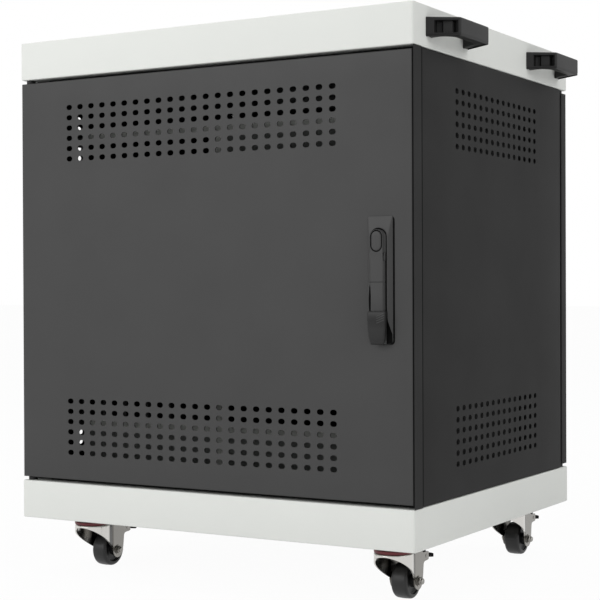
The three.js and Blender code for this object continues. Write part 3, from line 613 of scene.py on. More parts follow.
@dataclass
class Perforation:
    """Two fields of round-ended slots, one near the top and one near the bottom."""

    slot_width: float = 10.4
    slot_height: float = 7.6
    pitch_across: float = 20.0
    pitch_up: float = 15.0
    rows: int = 6
    margin: float = 45.5
    low: float = 139.0
    high: float = 734.0
    end_steps: int = 3

    def slot(self) -> Points:
        """One slot's outline about its middle: two half circles joined by straight sides."""
        half = self.slot_height / 2
        return rounded_loop(self.slot_width / 2, half, half, self.end_steps)

    def row_edges(self) -> Points:
        """The levels that bound the rows of both fields, from the lowest up."""
        steps = (np.arange(self.rows + 1) - 0.5) * self.pitch_up + self.margin
        return np.concatenate([self.low + steps, (self.high - steps)[::-1]])

    def sheet(self, across: Span, up: Span, first: float, columns: int) -> Surface:
        """A flat sheet with its slots, in a plane of across and up.

        Grid lines bound a cell round every slot. A plain cell is one quad. A slotted cell joins each corner
        to a quarter of its slot's outline with a fan, and each side to the slot's nearest point.

        Args:
            across: the sheet's left and right edges.
            up: the sheet's lower and upper edges.
            first: the first column's middle.
            columns: number of columns.

        Returns:
            The sheet at depth zero, facing away from depth.
        """
        inner = first + (np.arange(columns + 1) - 0.5) * self.pitch_across
        lines_u = np.concatenate([[across[0]], inner, [across[1]]])
        lines_v = np.concatenate([[up[0]], self.row_edges(), [up[1]]])
        count_u, count_v = len(lines_u), len(lines_v)
        grid = np.stack(np.meshgrid(lines_u, lines_v, indexing="ij"), -1).reshape(-1, 2)
        cell_u, cell_v = np.meshgrid(np.arange(count_u - 1), np.arange(count_v - 1), indexing="ij")
        lower = (cell_v >= 1) & (cell_v <= self.rows)
        upper = (cell_v >= self.rows + 2) & (cell_v <= 2 * self.rows + 1)
        slotted = (cell_u >= 1) & (cell_u <= columns) & (lower | upper)
        low_low = cell_u * count_v + cell_v
        corners = np.stack([low_low, low_low + count_v, low_low + count_v + 1, low_low + 1], -1)
        plain, holed = corners[~slotted], corners[slotted]
        outline = self.slot()
        size = len(outline)
        middles = (grid[holed[:, 0]] + grid[holed[:, 2]]) / 2
        rims = (middles[:, None, :] + outline[None, :, :]).reshape(-1, 2)
        base = len(grid) + np.arange(len(holed))[:, None] * size
        turn = holed[:, [2, 3, 0, 1]]
        per_corner = size // 4
        step = np.arange(size)
        fan = np.stack([turn[:, step // per_corner], base + (step + 1) % size, base + step], -1)
        fan = fan[:, (step + 1) % per_corner != 0]
        start = np.arange(4) * per_corner + per_corner - 1
        sides = np.stack([turn, np.roll(turn, -1, 1), base + (start + 1) % size, base + start], -1)
        faces = plain.tolist() + fan.reshape(-1, 3).tolist() + sides.reshape(-1, 4).tolist()
        flat = np.vstack([grid, rims])
        return Surface(np.column_stack([flat, np.zeros(len(flat))]), faces)

    def pan(self, across: Span, up: Span, first: float, columns: int, fold: float, depth: float) -> Surface:
        """A slotted sheet whose edges fold back: the sheet's rim, carried round a quarter circle and back.

        Args:
            across: the pan's left and right edges.
            up: the pan's lower and upper edges.
            first: the first column's middle.
            columns: number of columns.
            fold: outer radius of the fold.
            depth: how far the folded edges reach back.

        Returns:
            The pan, with depth as its third coordinate.
        """
        face = self.sheet((across[0] + fold, across[1] - fold), (up[0] + fold, up[1] - fold), first, columns)
        count_u, count_v = columns + 3, 2 * self.rows + 4
        numbers = np.arange(count_u * count_v).reshape(count_u, count_v)
        rim = np.concatenate([numbers[:-1, 0], numbers[-1, :-1], numbers[:0:-1, -1], numbers[0, :0:-1]])
        flat = face.points[rim, :2]
        outward = (flat == flat.max(0)).astype(float) - (flat == flat.min(0)).astype(float)
        sine, cosine = quarter(4)
        reach = np.append(fold * sine[1:], fold)
        rings = at_levels(flat + reach[:, None, None] * outward, np.append(fold * (1 - cosine[1:]), depth))
        start = len(face.points)
        quads = grid_faces(len(reach), len(rim), False, True) + start
        near = start + np.arange(len(rim))
        first_ring = np.stack([rim, near, np.roll(near, -1), np.roll(rim, -1)], -1)
        points = np.vstack([face.points, rings.reshape(-1, 3)])
        return Surface(points, face.faces + first_ring.tolist() + quads[:, ::-1].tolist())


# Cabinet


@dataclass
class Cabinet:
    """The pale cover and base, the dark side panels, and the doors with their posts, stops and pivots."""

    width: float = 650.0
    depth: float = 550.0
    corner: float = 3.6
    corner_least: float = 0.8
    edge: float = 1.6
    sheet: float = 1.5
    flange: float = 40.0
    base: Span = (84.0, 139.0)
    cover: Span = (734.0, 789.0)
    side: float = 324.0
    panel_end: float = 247.9
    panel_gap: float = 0.9
    panel_columns: int = 15
    door_front: float = 274.0
    door_depth: float = 20.0
    door_edge: float = 322.4
    door_gap: float = 5.5
    door_columns: int = 23
    door_first: float = -234.0
    fold: float = 1.8
    inlet_x: float = -220.0
    inlet_half: Span = (15.3, 11.3)
    strip_across: Span = (-289.0, 290.0)
    strip_depth: Span = (250.5, 253.0)
    strip_height: float = 12.0
    joint: float = 0.1
    post_side: float = 324.9
    post_wing: float = 0.8
    post_inset: float = 5.0
    post_leg: float = 32.0
    post_wall: float = 2.0
    post_gap: float = 0.3
    post_stop: Span = (251.7, 253.7)
    keeper: Place = (319.7, 483.5, 13.0)  # how far out the notch reaches, its level and half its height
    notch_past: Span = (4.0, 2.0)  # how far its cutter reaches past the stop, across and in depth
    bead_across: Span = (322.0, 324.5)
    bead_inset: float = 1.8
    pivot: Span = (-314.0, -264.0)
    pivot_radius: float = 4.0
    pivot_point: float = 0.5
    pivot_grip: float = 7.0
    pivot_seat: float = 0.3
    collar_radius: float = 6.5
    collar_edge: float = 0.4
    slots: Perforation = field(default_factory=Perforation)

    def loop(self, inset: float) -> Points:
        """The cabinet's outline in plan, moved in by some distance."""
        radius = max(self.corner - inset, self.corner_least) if inset < self.flange else self.corner
        return rounded_loop(self.width / 2 - inset, self.depth / 2 - inset, radius, 6)

    def tray(self, low: float, high: float, opens_up: bool) -> Surface:
        """A folded tray: its outline carried round rounded edges, up the wall and in along the lip.

        Args:
            low: the tray's lowest level.
            high: its highest level.
            opens_up: whether the mouth is on top.

        Returns:
            The tray's outer face, open at its mouth.
        """
        insets, levels = rounded_wall(low, high, self.edge, 5)
        lip, mouth = (len(insets), high) if opens_up else (0, low)
        insets, levels = np.insert(insets, lip, self.flange), np.insert(levels, lip, mouth)
        return stacked([self.loop(d) for d in insets], levels, opens_up, not opens_up)

    def build_trays(self) -> None:
        """Make the cover, and the base with the inlet's opening in its rear wall."""
        cover, base = self.tray(*self.cover, False), self.tray(*self.base, True)
        make_piece("cover_shell", cover, PALE_COAT, "cabinet", ("top_cover",), self.sheet)
        half_x, half_z = self.inlet_half
        x, y, z = (self.inlet_x, half_x), (self.depth / 2, CUT_REACH), (sum(self.base) / 2, half_z)
        opening = block(around(*x), around(*y), around(*z), 0.5, 0.5)
        make_piece("base_shell", base, PALE_COAT, "cabinet", ("base_tray",), self.sheet, cutter=opening)

    def build_panels(self) -> None:
        """Make the perforated side panels: slotted sheets stood on edge and faced outwards."""
        up = (self.base[1] + self.panel_gap, self.cover[0] - self.panel_gap)
        ends = around(0.0, self.panel_end)
        first = -(self.panel_columns - 1) * self.slots.pitch_across / 2
        flat = self.slots.pan(ends, up, first, self.panel_columns, self.sheet, 2 * self.sheet)
        across, level, back = flat.points.T
        right = Surface(np.column_stack([self.side - back, across, level]), flat.faces)
        left = right.turned(End.REAR.turn)
        for word, panel in (("right", right), ("left", left)):
            make_piece(f"side_sheet_{word}", panel, SHADED_COAT, "cabinet", (f"side_panel_{word}",), self.sheet)

    def build_door(self, end: End) -> None:
        """Make a door: a slotted pan, faced out of its end of the cabinet.

        Args:
            end: the door's end of the cabinet.
        """
        across = (-self.side, self.door_edge)
        up = (self.base[1] + self.door_gap, self.cover[0] - self.door_gap)
        flat = self.slots.pan(across, up, self.door_first, self.door_columns, self.fold, self.door_depth)
        x, z, back = flat.points.T
        pan = Surface(np.column_stack([x, back - self.door_front, z]), flat.faces).turned(end.turn)
        door = f"{end.word}_door"
        # The pan's side flanges take the darker coat as painted shade.
        make_piece(f"{door}_pan", pan, DARK_COAT, door, (door,), self.sheet, edge=SHADED_COAT)

    def build_post(self, end: End) -> None:
        """Make the post beside a door's free edge, and a near-black bead in the joint behind it as painted
        shadow.

        The post is a folded section carried up, with the tongue's notch cut out.

        Args:
            end: the door's end of the cabinet.
        """
        back, front = self.post_stop
        leg, stop = self.side - self.post_inset, self.side - self.post_leg
        inner_leg, wing = leg - self.post_wall, self.post_side - self.post_wing
        section = np.array(
            [
                (self.post_side, -self.door_front),
                (self.post_side, -back),
                (leg, -back),
                (leg, -back + self.post_leg),
                (inner_leg, -back + self.post_leg),
                (inner_leg, -back),
                (stop, -back),
                (stop, -front),
                (wing, -front),
                (wing, -self.door_front),
            ]
        )
        low, high = self.base[1] + self.post_gap, self.cover[0] - self.post_gap
        post = stacked([section, section], (low, high))
        reach, level, half = self.keeper
        past_x, past_y = self.notch_past
        through = (-front - past_y, -back + past_y)
        notch = block((stop - past_x, reach), through, around(level, half), 0.5, 0.5)
        name, node = f"{end.word}_post_sheet", f"{end.word}_lock_post"
        cutter = notch.turned(end.turn)
        make_piece(name, post.turned(end.turn), SHADED_COAT, "cabinet", (node,), cutter=cutter)
        # The near-black bead stands in the joint as painted shadow between the post and the panel.
        depth = (-back + self.joint, -self.panel_end - self.joint)
        bead = block(self.bead_across, depth, (low + self.bead_inset, high - self.bead_inset), 0.4, 0.3)
        make_piece(f"{end.word}_seam_bead", bead.turned(end.turn), RUBBER_AND_SHADE, "cabinet")

    def build_strips(self, end: End) -> None:
        """Make the two stop strips that close the gaps above and below a door, folded from sheet.

        Args:
            end: the door's end of the cabinet.
        """
        back, front = self.strip_depth
        spans = {
            "top": (self.cover[0] - self.strip_height, self.cover[0] - self.joint),
            "bottom": (self.base[1] + self.joint, self.base[1] + self.strip_height),
        }
        for word, levels in spans.items():
            strip = block(self.strip_across, (-front, -back), levels, 0.6, 0.5).turned(end.turn)
            make_piece(f"{end.word}_stop_strip_{word}", strip, SHADED_COAT, "cabinet")

    def build_pivots(self, end: End) -> None:
        """Make a door's two pivots: black bushes with a round shoulder, in the gaps above and below it.

        Args:
            end: the door's end of the cabinet.
        """
        pin, collar, grip, seat = self.pivot_radius, self.collar_radius, self.pivot_grip, self.pivot_seat
        point, edge = self.pivot_point, self.collar_edge
        for word, lip, way in (("top", self.cover[0], 1), ("bottom", self.base[1], -1)):
            door = lip - way * self.door_gap
            profile = [
                (pin - point, lip + way * grip),
                (pin, lip + way * (grip - point)),
                (pin, lip - way * seat),
                (collar - edge, lip - way * seat),
                (collar, lip - way * (seat + edge)),
                (collar, door + way * (seat + edge)),
                (collar - edge, door + way * seat),
                (pin, door + way * seat),
                (pin - point, door - way * grip),
            ]
            bush = lathe(profile[::-way], 24, Axis.Z).moved((*self.pivot, 0.0)).turned(end.turn)
            node = f"{end.word}_door_pivot_{word}"
            make_piece(f"{end.word}_pivot_bush_{word}", bush, BLACK_NYLON, "cabinet", (node,))


# Swing handle


@dataclass
class SwingHandle:
    """The swing-handle lock on a door: housing, turning head, push button, lift lever and grip.

    Shapes are drawn about the lock's upright line as (across, up, out), with up measured from the door's
    middle and out from its face.
    """

    across: float = 276.7
    middle: float = 436.5
    face: float = 274.0
    # A near-black rim under the housing, moved to the right: painted shadow beside the housing's shaded side.
    gasket_plate: tuple[float, float, float, float] = (19.2, -86.6, 79.0, 5.4)
    gasket_out: Span = (0.05, 0.3)
    gasket_shift: float = 1.1
    # A near-black plate under the lever, wider than it: painted shadow beside the lever.
    trough_half: float = 12.3
    trough_ends: Span = (-56.0, 64.2)
    trough_out: Span = (6.6, 6.95)
    head_up: float = 47.0
    head_bottom: Span = (31.4, 30.8)
    head_out: tuple[float, ...] = (7.1, 10.4, 12.3, 12.7, 12.7, 8.0)
    cheek_across: Span = (9.4, 11.0)
    cheek_up: Span = (21.3, 31.9)
    groove: float = 1.6
    rim: float = 0.6
    button_half: Span = (7.0, 12.6)
    # A near-black ring in the button's groove: painted shade.
    skirt_reach: float = 1.3
    skirt_out: Span = (11.3, 11.8)
    flare: float = 0.2
    arm_out: Span = (7.4, 12.6)
    arm_flare_top: float = 21.0
    wing_top: float = -7.0
    ridge_count: int = 4
    ridge_pitch: float = 2.9
    ridge_radius: float = 0.7
    ridge_start: Place = (1.0, -50.0, 14.6)
    ridge_end: Place = (12.2, -45.4, 14.4)
    pin_place: Place = (0.0, -80.5, 12.9)

    def stack(self, stations: list[tuple]) -> Surface:
        """Loft rounded rectangles outwards: a station gives out, half width, low, high and corner radius."""
        return stacked([tall_loop(*sizes, 5) for _, *sizes in stations], [out for out, *_ in stations])

    def bar(self, stations: list[tuple]) -> Surface:
        """Loft rounded rectangles downwards.

        Args:
            stations: up, middle, half width, back, front and corner radius of each, from the top down.

        Returns:
            The closed shape.
        """
        loops = [tall_loop(*sizes, 4) + [centre, 0] for _, centre, *sizes in stations]
        flat = stacked(loops, [up for up, *_ in stations])
        return Surface(flat.points[:, [0, 2, 1]], flat.faces)

    def housing(self) -> Surface:
        """The boat-shaped housing: long ramps at its ends and flanks that lean in."""
        return self.stack(
            [
                (0.3, 18.0, -86.0, 79.0, (2.0, 2.0, 5.0, 5.0)),
                (1.2, 18.0, -86.0, 79.0, (2.0, 2.0, 5.0, 5.0)),
                (1.6, 17.7, -85.4, 77.8, (1.8, 1.8, 4.8, 4.8)),
                (6.3, 14.2, -60.0, 55.6, 3.0),
                (6.7, 13.9, -58.6, 54.2, 2.8),
                (6.8, 13.4, -57.6, 53.4, 2.6),
            ]
        )

    def gasket(self) -> Surface:
        """A thin near-black rim between the housing and the door, painted shadow: moved to the right so that
        it shows as a dark line beside the housing's shaded side.
        """
        plate = self.stack([(out, *self.gasket_plate) for out in self.gasket_out])
        return plate.moved((self.gasket_shift, 0.0, 0.0))

    def trough(self) -> Surface:
        """A near-black plate under the lever, wider than it: painted shadow that shows as a dark line beside
        the lever.

        Returns:
            A flat round-topped plate.
        """
        half = self.trough_half
        loop = tall_loop(half, *self.trough_ends, (half, half, 1.0, 1.0), 8)
        return stacked([loop, loop], self.trough_out)

    def head(self) -> Surface:
        """The turning head, round-topped, with a groove round the button and a cheek each side of the lever.

        Returns:
            The head as a loft outwards, over its rim and into the groove, and the two cheeks.
        """
        half_x, half_y = (self.rim + self.groove + side for side in self.button_half)
        top = self.head_up + half_y
        round_top = (half_x, half_x, 1.0, 1.0)
        outer, lipped = (tall_loop(half_x, low, top, round_top, 8) for low in self.head_bottom)
        wide = outer * [1 + self.flare, 1.0]
        shrunk = lipped * [0.95, 1.0] + [0, -0.1]
        pocket = rounded_loop(half_x - self.rim, half_y - self.rim, half_x, 8) + [0, self.head_up]
        turned = stacked([wide, outer, lipped, shrunk, pocket, pocket], self.head_out)
        near, far = self.cheek_across
        cheeks = [block(x, self.cheek_up, self.head_out[:2], 0.3, 0.2) for x in ((near, far), (-far, -near))]
        return join([turned, *cheeks])

    def spindle(self) -> Surface:
        """The spindle from the head through the door to the tongue.

        Returns:
            The shank, and a hexagon nut behind the tongue.
        """
        shank = lathe([(6.0, -25.8), (6.0, 7.2)], 24, Axis.Z)
        nut = lathe([(7.6, -27.9), (8.4, -27.4), (8.4, -26.0)], 6, Axis.Z)
        return join([shank, nut]).moved((0.0, self.head_up, 0.0))

    def oval(self, inset: float) -> Points:
        """The button's outline, moved in by some distance or out by a negative one."""
        half_x, half_y = self.button_half
        return rounded_loop(half_x - inset, half_y - inset, half_x - min(inset, 0.0), 8) + [0, self.head_up]

    def button(self) -> Surface:
        """The oval push button: its outline drawn in as it rises to a shallow dome."""
        insets, levels = [0.0, 0.0, 0.35, 1.2, 3.2, 6.0], [11.3, 12.5, 12.9, 13.1, 13.25, 13.3]
        return stacked([self.oval(inset) for inset in insets], levels)

    def skirt(self) -> Surface:
        """A near-black ring that fills the groove round the button: painted shade in the groove."""
        return stacked([self.oval(-self.skirt_reach)] * 2, self.skirt_out)

    def arm(self) -> Surface:
        """The lever's slim arm, notched across at mid length, with a thin wing beside its finger scoop.

        Returns:
            The arm, wider towards the door below its top, and the wing.
        """
        back, front = self.arm_out
        slim = self.bar(
            [
                (31.0, 0.0, 9.0, 11.4, 11.7, 0.1),
                (30.65, 0.0, 9.1, 11.3, front, 0.4),
                (28.2, 0.0, 9.2, 11.0, front, 0.5),
                (27.3, 0.0, 9.2, 8.9, front, 0.8),
                (26.4, 0.0, 9.2, 8.0, front, 0.9),
                *((up, 0.0, 9.2, back, front, 0.9) for up in (25.0, 21.2, 20.8, -5.2)),
                *((up, 0.0, 8.9, back, 11.9, 0.9) for up in (-5.6, -6.3)),
                (-6.7, 0.0, 9.2, back, front, 0.9),
                (-24.0, 0.4, 8.7, back, 12.7, 0.9),
                (-42.0, 0.3, 8.9, back, 12.7, 0.9),
                (-44.5, 0.0, 8.7, 7.6, 11.8, 0.9),
            ]
        )
        across, up, out = slim.points.T
        leaning = (up < self.arm_flare_top) & ((across > 0) | (up > self.wing_top))
        depth = np.clip((front - out) / (front - back), 0, 1)
        slim.points[:, 0] = across * (1 + self.flare * np.where(leaning, depth, 0))
        wing = self.bar(
            [
                (-7.5, -10.0, 0.4, 8.4, 10.4, 0.3),
                (-12.0, -11.4, 0.6, 8.0, 11.4, 0.4),
                (-26.0, -12.2, 0.7, 7.8, 12.0, 0.5),
                (-38.0, -12.1, 0.8, 7.6, 12.3, 0.5),
                (-45.5, -11.2, 1.0, 7.6, 12.3, 0.6),
            ]
        )
        return join([slim, wing])

    def grip(self) -> Surface:
        """The wider grip, which tapers to a round end."""
        return self.bar(
            [
                (-43.2, 0.0, 12.2, 8.0, 12.8, 1.6),
                (-44.0, 0.0, 12.8, 7.6, 14.1, 2.0),
                (-46.0, 0.0, 13.0, 7.4, 14.8, 2.2),
                (-56.0, 0.0, 13.0, 7.4, 14.9, 2.2),
                (-56.6, 0.0, 12.8, 7.4, 14.5, 2.2),
                (-66.0, 0.0, 12.6, 7.4, 14.4, 2.4),
                (-77.0, 0.0, 11.6, 7.4, 13.8, 2.6),
                (-82.5, 0.0, 10.6, 7.6, 12.8, 2.4),
                (-85.2, 0.0, 9.2, 8.2, 11.4, 1.5),
                (-86.0, 0.0, 7.8, 9.0, 10.4, 0.6),
            ]
        )

    def scoop(self, floor: float, top: float, inset: float = 0.0) -> Surface:
        """The finger scoop beside the grip's end: a leaning four-sided prism between two levels.

        Args:
            floor: its lower level, measured out from the door.
            top: its upper level.
            inset: how far its lower and right sides are moved in.

        Returns:
            The closed prism.
        """
        left, right, low, high = 9.0, 20.0, -88.0, -52.0
        slant = [(right, -82.0), (16.6, -69.0), (12.8, high)]
        outline = np.array([(left, low), (right, low), *slant, (left, high)])
        outline = np.clip(outline, [0, low + inset], [right - inset, 0])
        return stacked([outline, outline], (floor, top))

    def ridges(self) -> Surface:
        """The slanted finger ridges on the grip: round bars, one under the other."""
        one = straight_tube(self.ridge_start, self.ridge_end, self.ridge_radius)
        return join([one.moved((0.0, -k * self.ridge_pitch, 0.0)) for k in range(self.ridge_count)])

    def pin(self) -> Surface:
        """The small round pin near the grip's end."""
        return lathe([(1.1, 0.0), (1.1, 0.5), (0.6, 0.6)], 16, Axis.Z).moved(self.pin_place)

    def placed(self, shape: Surface, end: End) -> Surface:
        """Stand a shape that is drawn about the lock on its door.

        Args:
            shape: the shape, as (across, up, out).
            end: the door's end of the cabinet.

        Returns:
            The shape about the cabinet's middle.
        """
        across, up, out = shape.points.T
        points = np.column_stack([across + self.across, -self.face - out, up + self.middle])
        return Surface(points, shape.faces).turned(end.turn)

    def build(self, end: End) -> None:
        """Make the lock of one door.

        Args:
            end: the door's end of the cabinet.
        """
        words = ("door", "lock_housing", "lock_head", "lock_button", "lock_lever")
        door, case, head, press, lever = (f"{end.word}_{word}" for word in words)
        cut = {"cutter": self.placed(self.scoop(floor=1.0, top=9.0), end)}
        pieces = (
            ("lock_boat", self.housing(), LOCK_GREY, door, (case,), cut),
            # The near-black floor in the cut-out scoop is painted shade.
            ("lock_scoop", self.scoop(floor=1.05, top=1.4, inset=2.6), RUBBER_AND_SHADE, door, (), {}),
            ("lock_gasket", self.gasket(), RUBBER_AND_SHADE, door, (), {}),
            ("lock_trough", self.trough(), RUBBER_AND_SHADE, door, (), {}),
            ("press_skirt", self.skirt(), RUBBER_AND_SHADE, press, (), {}),
            ("lock_knob", self.head(), LOCK_GREY, head, (head,), {}),
            ("lock_spindle", self.spindle(), ZINC, head, (), {}),
            ("lock_press", self.button(), LOCK_GREY, press, (press,), {"sharp_deg": 50}),
            ("lever_arm", self.arm(), LOCK_GREY, lever, (lever,), {}),
            ("lever_grip", self.grip(), LOCK_DARK, lever, (), {"sharp_deg": 40}),
            # The ridges take the lever's lighter grey on the dark grip as painted highlight.
            ("grip_ridges", self.ridges(), LOCK_GREY, lever, (), {}),
            ("grip_pin", self.pin(), BLACK_NYLON, lever, (), {}),
        )
        for name, shape, finish, body, nodes, more in pieces:
            make_piece(f"{end.word}_{name}", self.placed(shape, end), finish, body, nodes, **more)


# Inside the cabinet


@dataclass
class Bays:
    """The inside: inner walls, grey rails and plates at the front, trims on the fins, and a ceiling."""

    half: float = 314.5
    sheet: float = 1.5
    front: float = -243.0
    back: float = 67.0
    low: float = 139.3
    high: float = 733.5
    right_flange: float = 17.0
    rack_top: float = 227.5
    rack_rail: float = 228.5
    shelf_middle: float = 645.5
    rail_ends: Span = (-226.0, 300.0)
    rail_half: float = 6.5
    rail_out: Span = (3.0, 0.2)
    rail_gap: float = 0.5
    partition: Span = (-8.0, 12.0)
    foot_gap: float = 2.5
    plate_gap: float = 0.3
    lip_drop: float = 34.0
    ceiling_reach: float = 313.8
    ceiling_drop: float = 3.0
    count: int = 16
    side_gap: float = 0.3
    fin_top: float = 327.5
    trim_half: Span = (2.2, 2.0)
    trim_corner: float = 7.0
    trim_gaps: Span = (9.0, 2.0)  # above the rack and before the rear wall
    windows: tuple[tuple[Span, Span], ...] = (
        ((-158.0, -136.0), (176.0, 206.0)),
        ((-158.0, -136.0), (239.0, 257.0)),
        ((-158.0, -136.0), (620.0, 655.0)),
        ((-158.0, -136.0), (664.0, 700.0)),
        ((-133.0, -43.0), (207.0, 219.0)),
    )

    def build_walls(self) -> None:
        """Make the inner walls: a closed sheet on the right, and one with windows on the left."""
        up, near, far = (self.low, self.high), self.half, self.half + self.sheet
        right = block((near, far), (self.front, self.back + self.right_flange), up, 0.3, 0.3)
        make_piece("bay_wall_right", right, SHADED_COAT, "cabinet", ("inner_wall_right",))
        left = block((-far, -near), (self.front, self.back), up, 0.3, 0.3)
        through = (-far - CUT_REACH, -near + CUT_REACH)
        cutter = join([block(through, along, levels, 0.5, 0.5) for along, levels in self.windows])
        make_piece("bay_wall_left", left, SHADED_COAT, "cabinet", ("inner_wall_left",), cutter=cutter)

    def build_rails(self) -> None:
        """Make the rails in front of the rack, the shelf and the partition: slim strips with round edges."""
        # The rails take a pale coat as painted light, seen through the door's slots.
        near, far = (self.front - out for out in self.rail_out)
        for word, level in (("rack", self.rack_rail), ("shelf", self.shelf_middle)):
            rail = block(self.rail_ends, (near, far), around(level, self.rail_half), 0.8, 0.6)
            make_piece(f"{word}_rail", rail, RAIL_COAT_PAINTED_LIGHT, "cabinet")
        clear = self.rail_half + self.rail_gap
        post, foot = (
            block(self.partition, (near, far), levels, 0.8, 0.6)
            for levels in (
                (self.rack_rail + clear, self.shelf_middle - clear),
                (self.low + self.foot_gap, self.rack_rail - clear),
            )
        )
        make_piece("partition_rail", join([post, foot]), RAIL_COAT_PAINTED_LIGHT, "cabinet")

    def build_trims(self) -> None:
        """Make the nylon trims on the fins: a rounded section carried up the front edge and along the top."""
        radius, inner = self.trim_corner, self.half - self.side_gap
        above, before = self.trim_gaps
        corner = arc(radius, 180, 90, 5) + [self.front + radius, self.fin_top - radius]
        path = np.vstack([[self.front, self.rack_top + above], corner, [self.back - before, self.fin_top]])
        heading = np.gradient(path, axis=0)
        heading /= np.linalg.norm(heading, axis=1)[:, None]
        out = np.column_stack([-heading[:, 1], heading[:, 0]])
        across, away = rounded_loop(*self.trim_half, 1.4, 3).T
        sides = np.broadcast_to(across[:, None], (len(path), len(across), 1))
        one = loft(np.concatenate([sides, path[:, None, :] + away[:, None] * out[:, None, :]], -1))
        places = [2 * inner * k / self.count - inner for k in range(1, self.count) if 2 * k != self.count]
        make_piece("fin_trims", join([one.moved((x, 0.0, 0.0)) for x in places]), BLACK_NYLON, "cabinet")

    def build_plates(self) -> None:
        """Make the plates behind the slots: one under the rack, and a lip under the shelf's right half."""
        near = self.front + self.plate_gap
        depth = (near, near + self.sheet)
        toe = (self.low + self.foot_gap, self.rack_top - self.rail_half)
        top = self.shelf_middle - self.rail_half
        lip = (top - self.lip_drop, top)
        right_half = (self.partition[1], self.rail_ends[1])
        for name, across, up in (("toe_plate", self.rail_ends, toe), ("shelf_lip", right_half, lip)):
            make_piece(name, block(across, depth, up, 0.4, 0.3), SHEET_COAT, "cabinet")

    def build_ceiling(self) -> None:
        """Make the dark sheet that closes the bays on top, under the cover's mouth."""
        low = self.high - self.ceiling_drop
        across, along = around(0.0, self.ceiling_reach), (self.front, -self.front)
        sheet = block(across, along, (low, low + self.sheet), 0.6, 0.4)
        make_piece("ceiling_sheet", sheet, SHADED_COAT, "cabinet")


@dataclass
class Power:
    """The outlet strip's socket inserts and the mains inlet's pins and screws."""

    strip_z: float = 269.0
    strip_back: float = 107.1
    recess: float = 10.0
    first: float = -189.0
    pitch: float = 44.0
    count: int = 8
    half: float = 12.7
    insert_out: Span = (0.1, 6.0)
    hole_out: Span = (2.0, 9.0)
    hole_half: Span = (1.3, 3.0)
    hole_spots: tuple[Span, ...] = ((-5.5, -3.5), (5.5, -3.5), (0.0, 5.0))
    inlet: Place = (-220.0, 275.0, 111.5)
    pin_in: Span = (14.8, 3.0)
    pin_half: Span = (2.0, 1.0)
    pin_spots: tuple[Span, ...] = ((-7.0, -2.0), (7.0, -2.0), (0.0, 3.0))
    screw_spread: float = 19.5
    screw_out: float = 2.8

    def build_sockets(self) -> None:
        """Make the socket inserts: rounded plates sunk in the outlets, each with holes for three pins."""
        floor, z = self.strip_back - self.recess, self.strip_z
        middles = self.first + self.pitch * np.arange(self.count)
        insert, hole = (tuple(floor + out for out in outs) for outs in (self.insert_out, self.hole_out))
        wide, tall = self.hole_half
        plates = [block(around(x, self.half), insert, around(z, self.half), 1.0, 0.8) for x in middles]
        holes = [
            block(around(x + side, wide), hole, around(z + up, tall), 0.4, 0.4)
            for x in middles
            for side, up in self.hole_spots
        ]
        make_piece("socket_inserts", join(plates), LOCK_DARK, "cabinet", cutter=join(holes))

    def build_inlet(self) -> None:
        """Make the inlet's three flat pins and the two screws of its face plate."""
        x, wall, z = self.inlet
        wide, tall = self.pin_half
        depth = tuple(wall - deep for deep in self.pin_in)
        pins = [
            block(around(x + side, wide), depth, around(z + up, tall), 0.5, 0.4)
            for side, up in self.pin_spots
        ]
        make_piece("inlet_pins", join(pins), ZINC, "cabinet")
        screw = lathe([(3.0, 0.05), (3.0, 0.6), (2.0, 1.3), (1.0, 0.8), (0.9, 1.4)], 20, Axis.Y)
        screws = [screw.moved((side, wall + self.screw_out, z)) for side in around(x, self.screw_spread)]
        make_piece("inlet_screws", join(screws), ZINC, "cabinet")


# Push handles


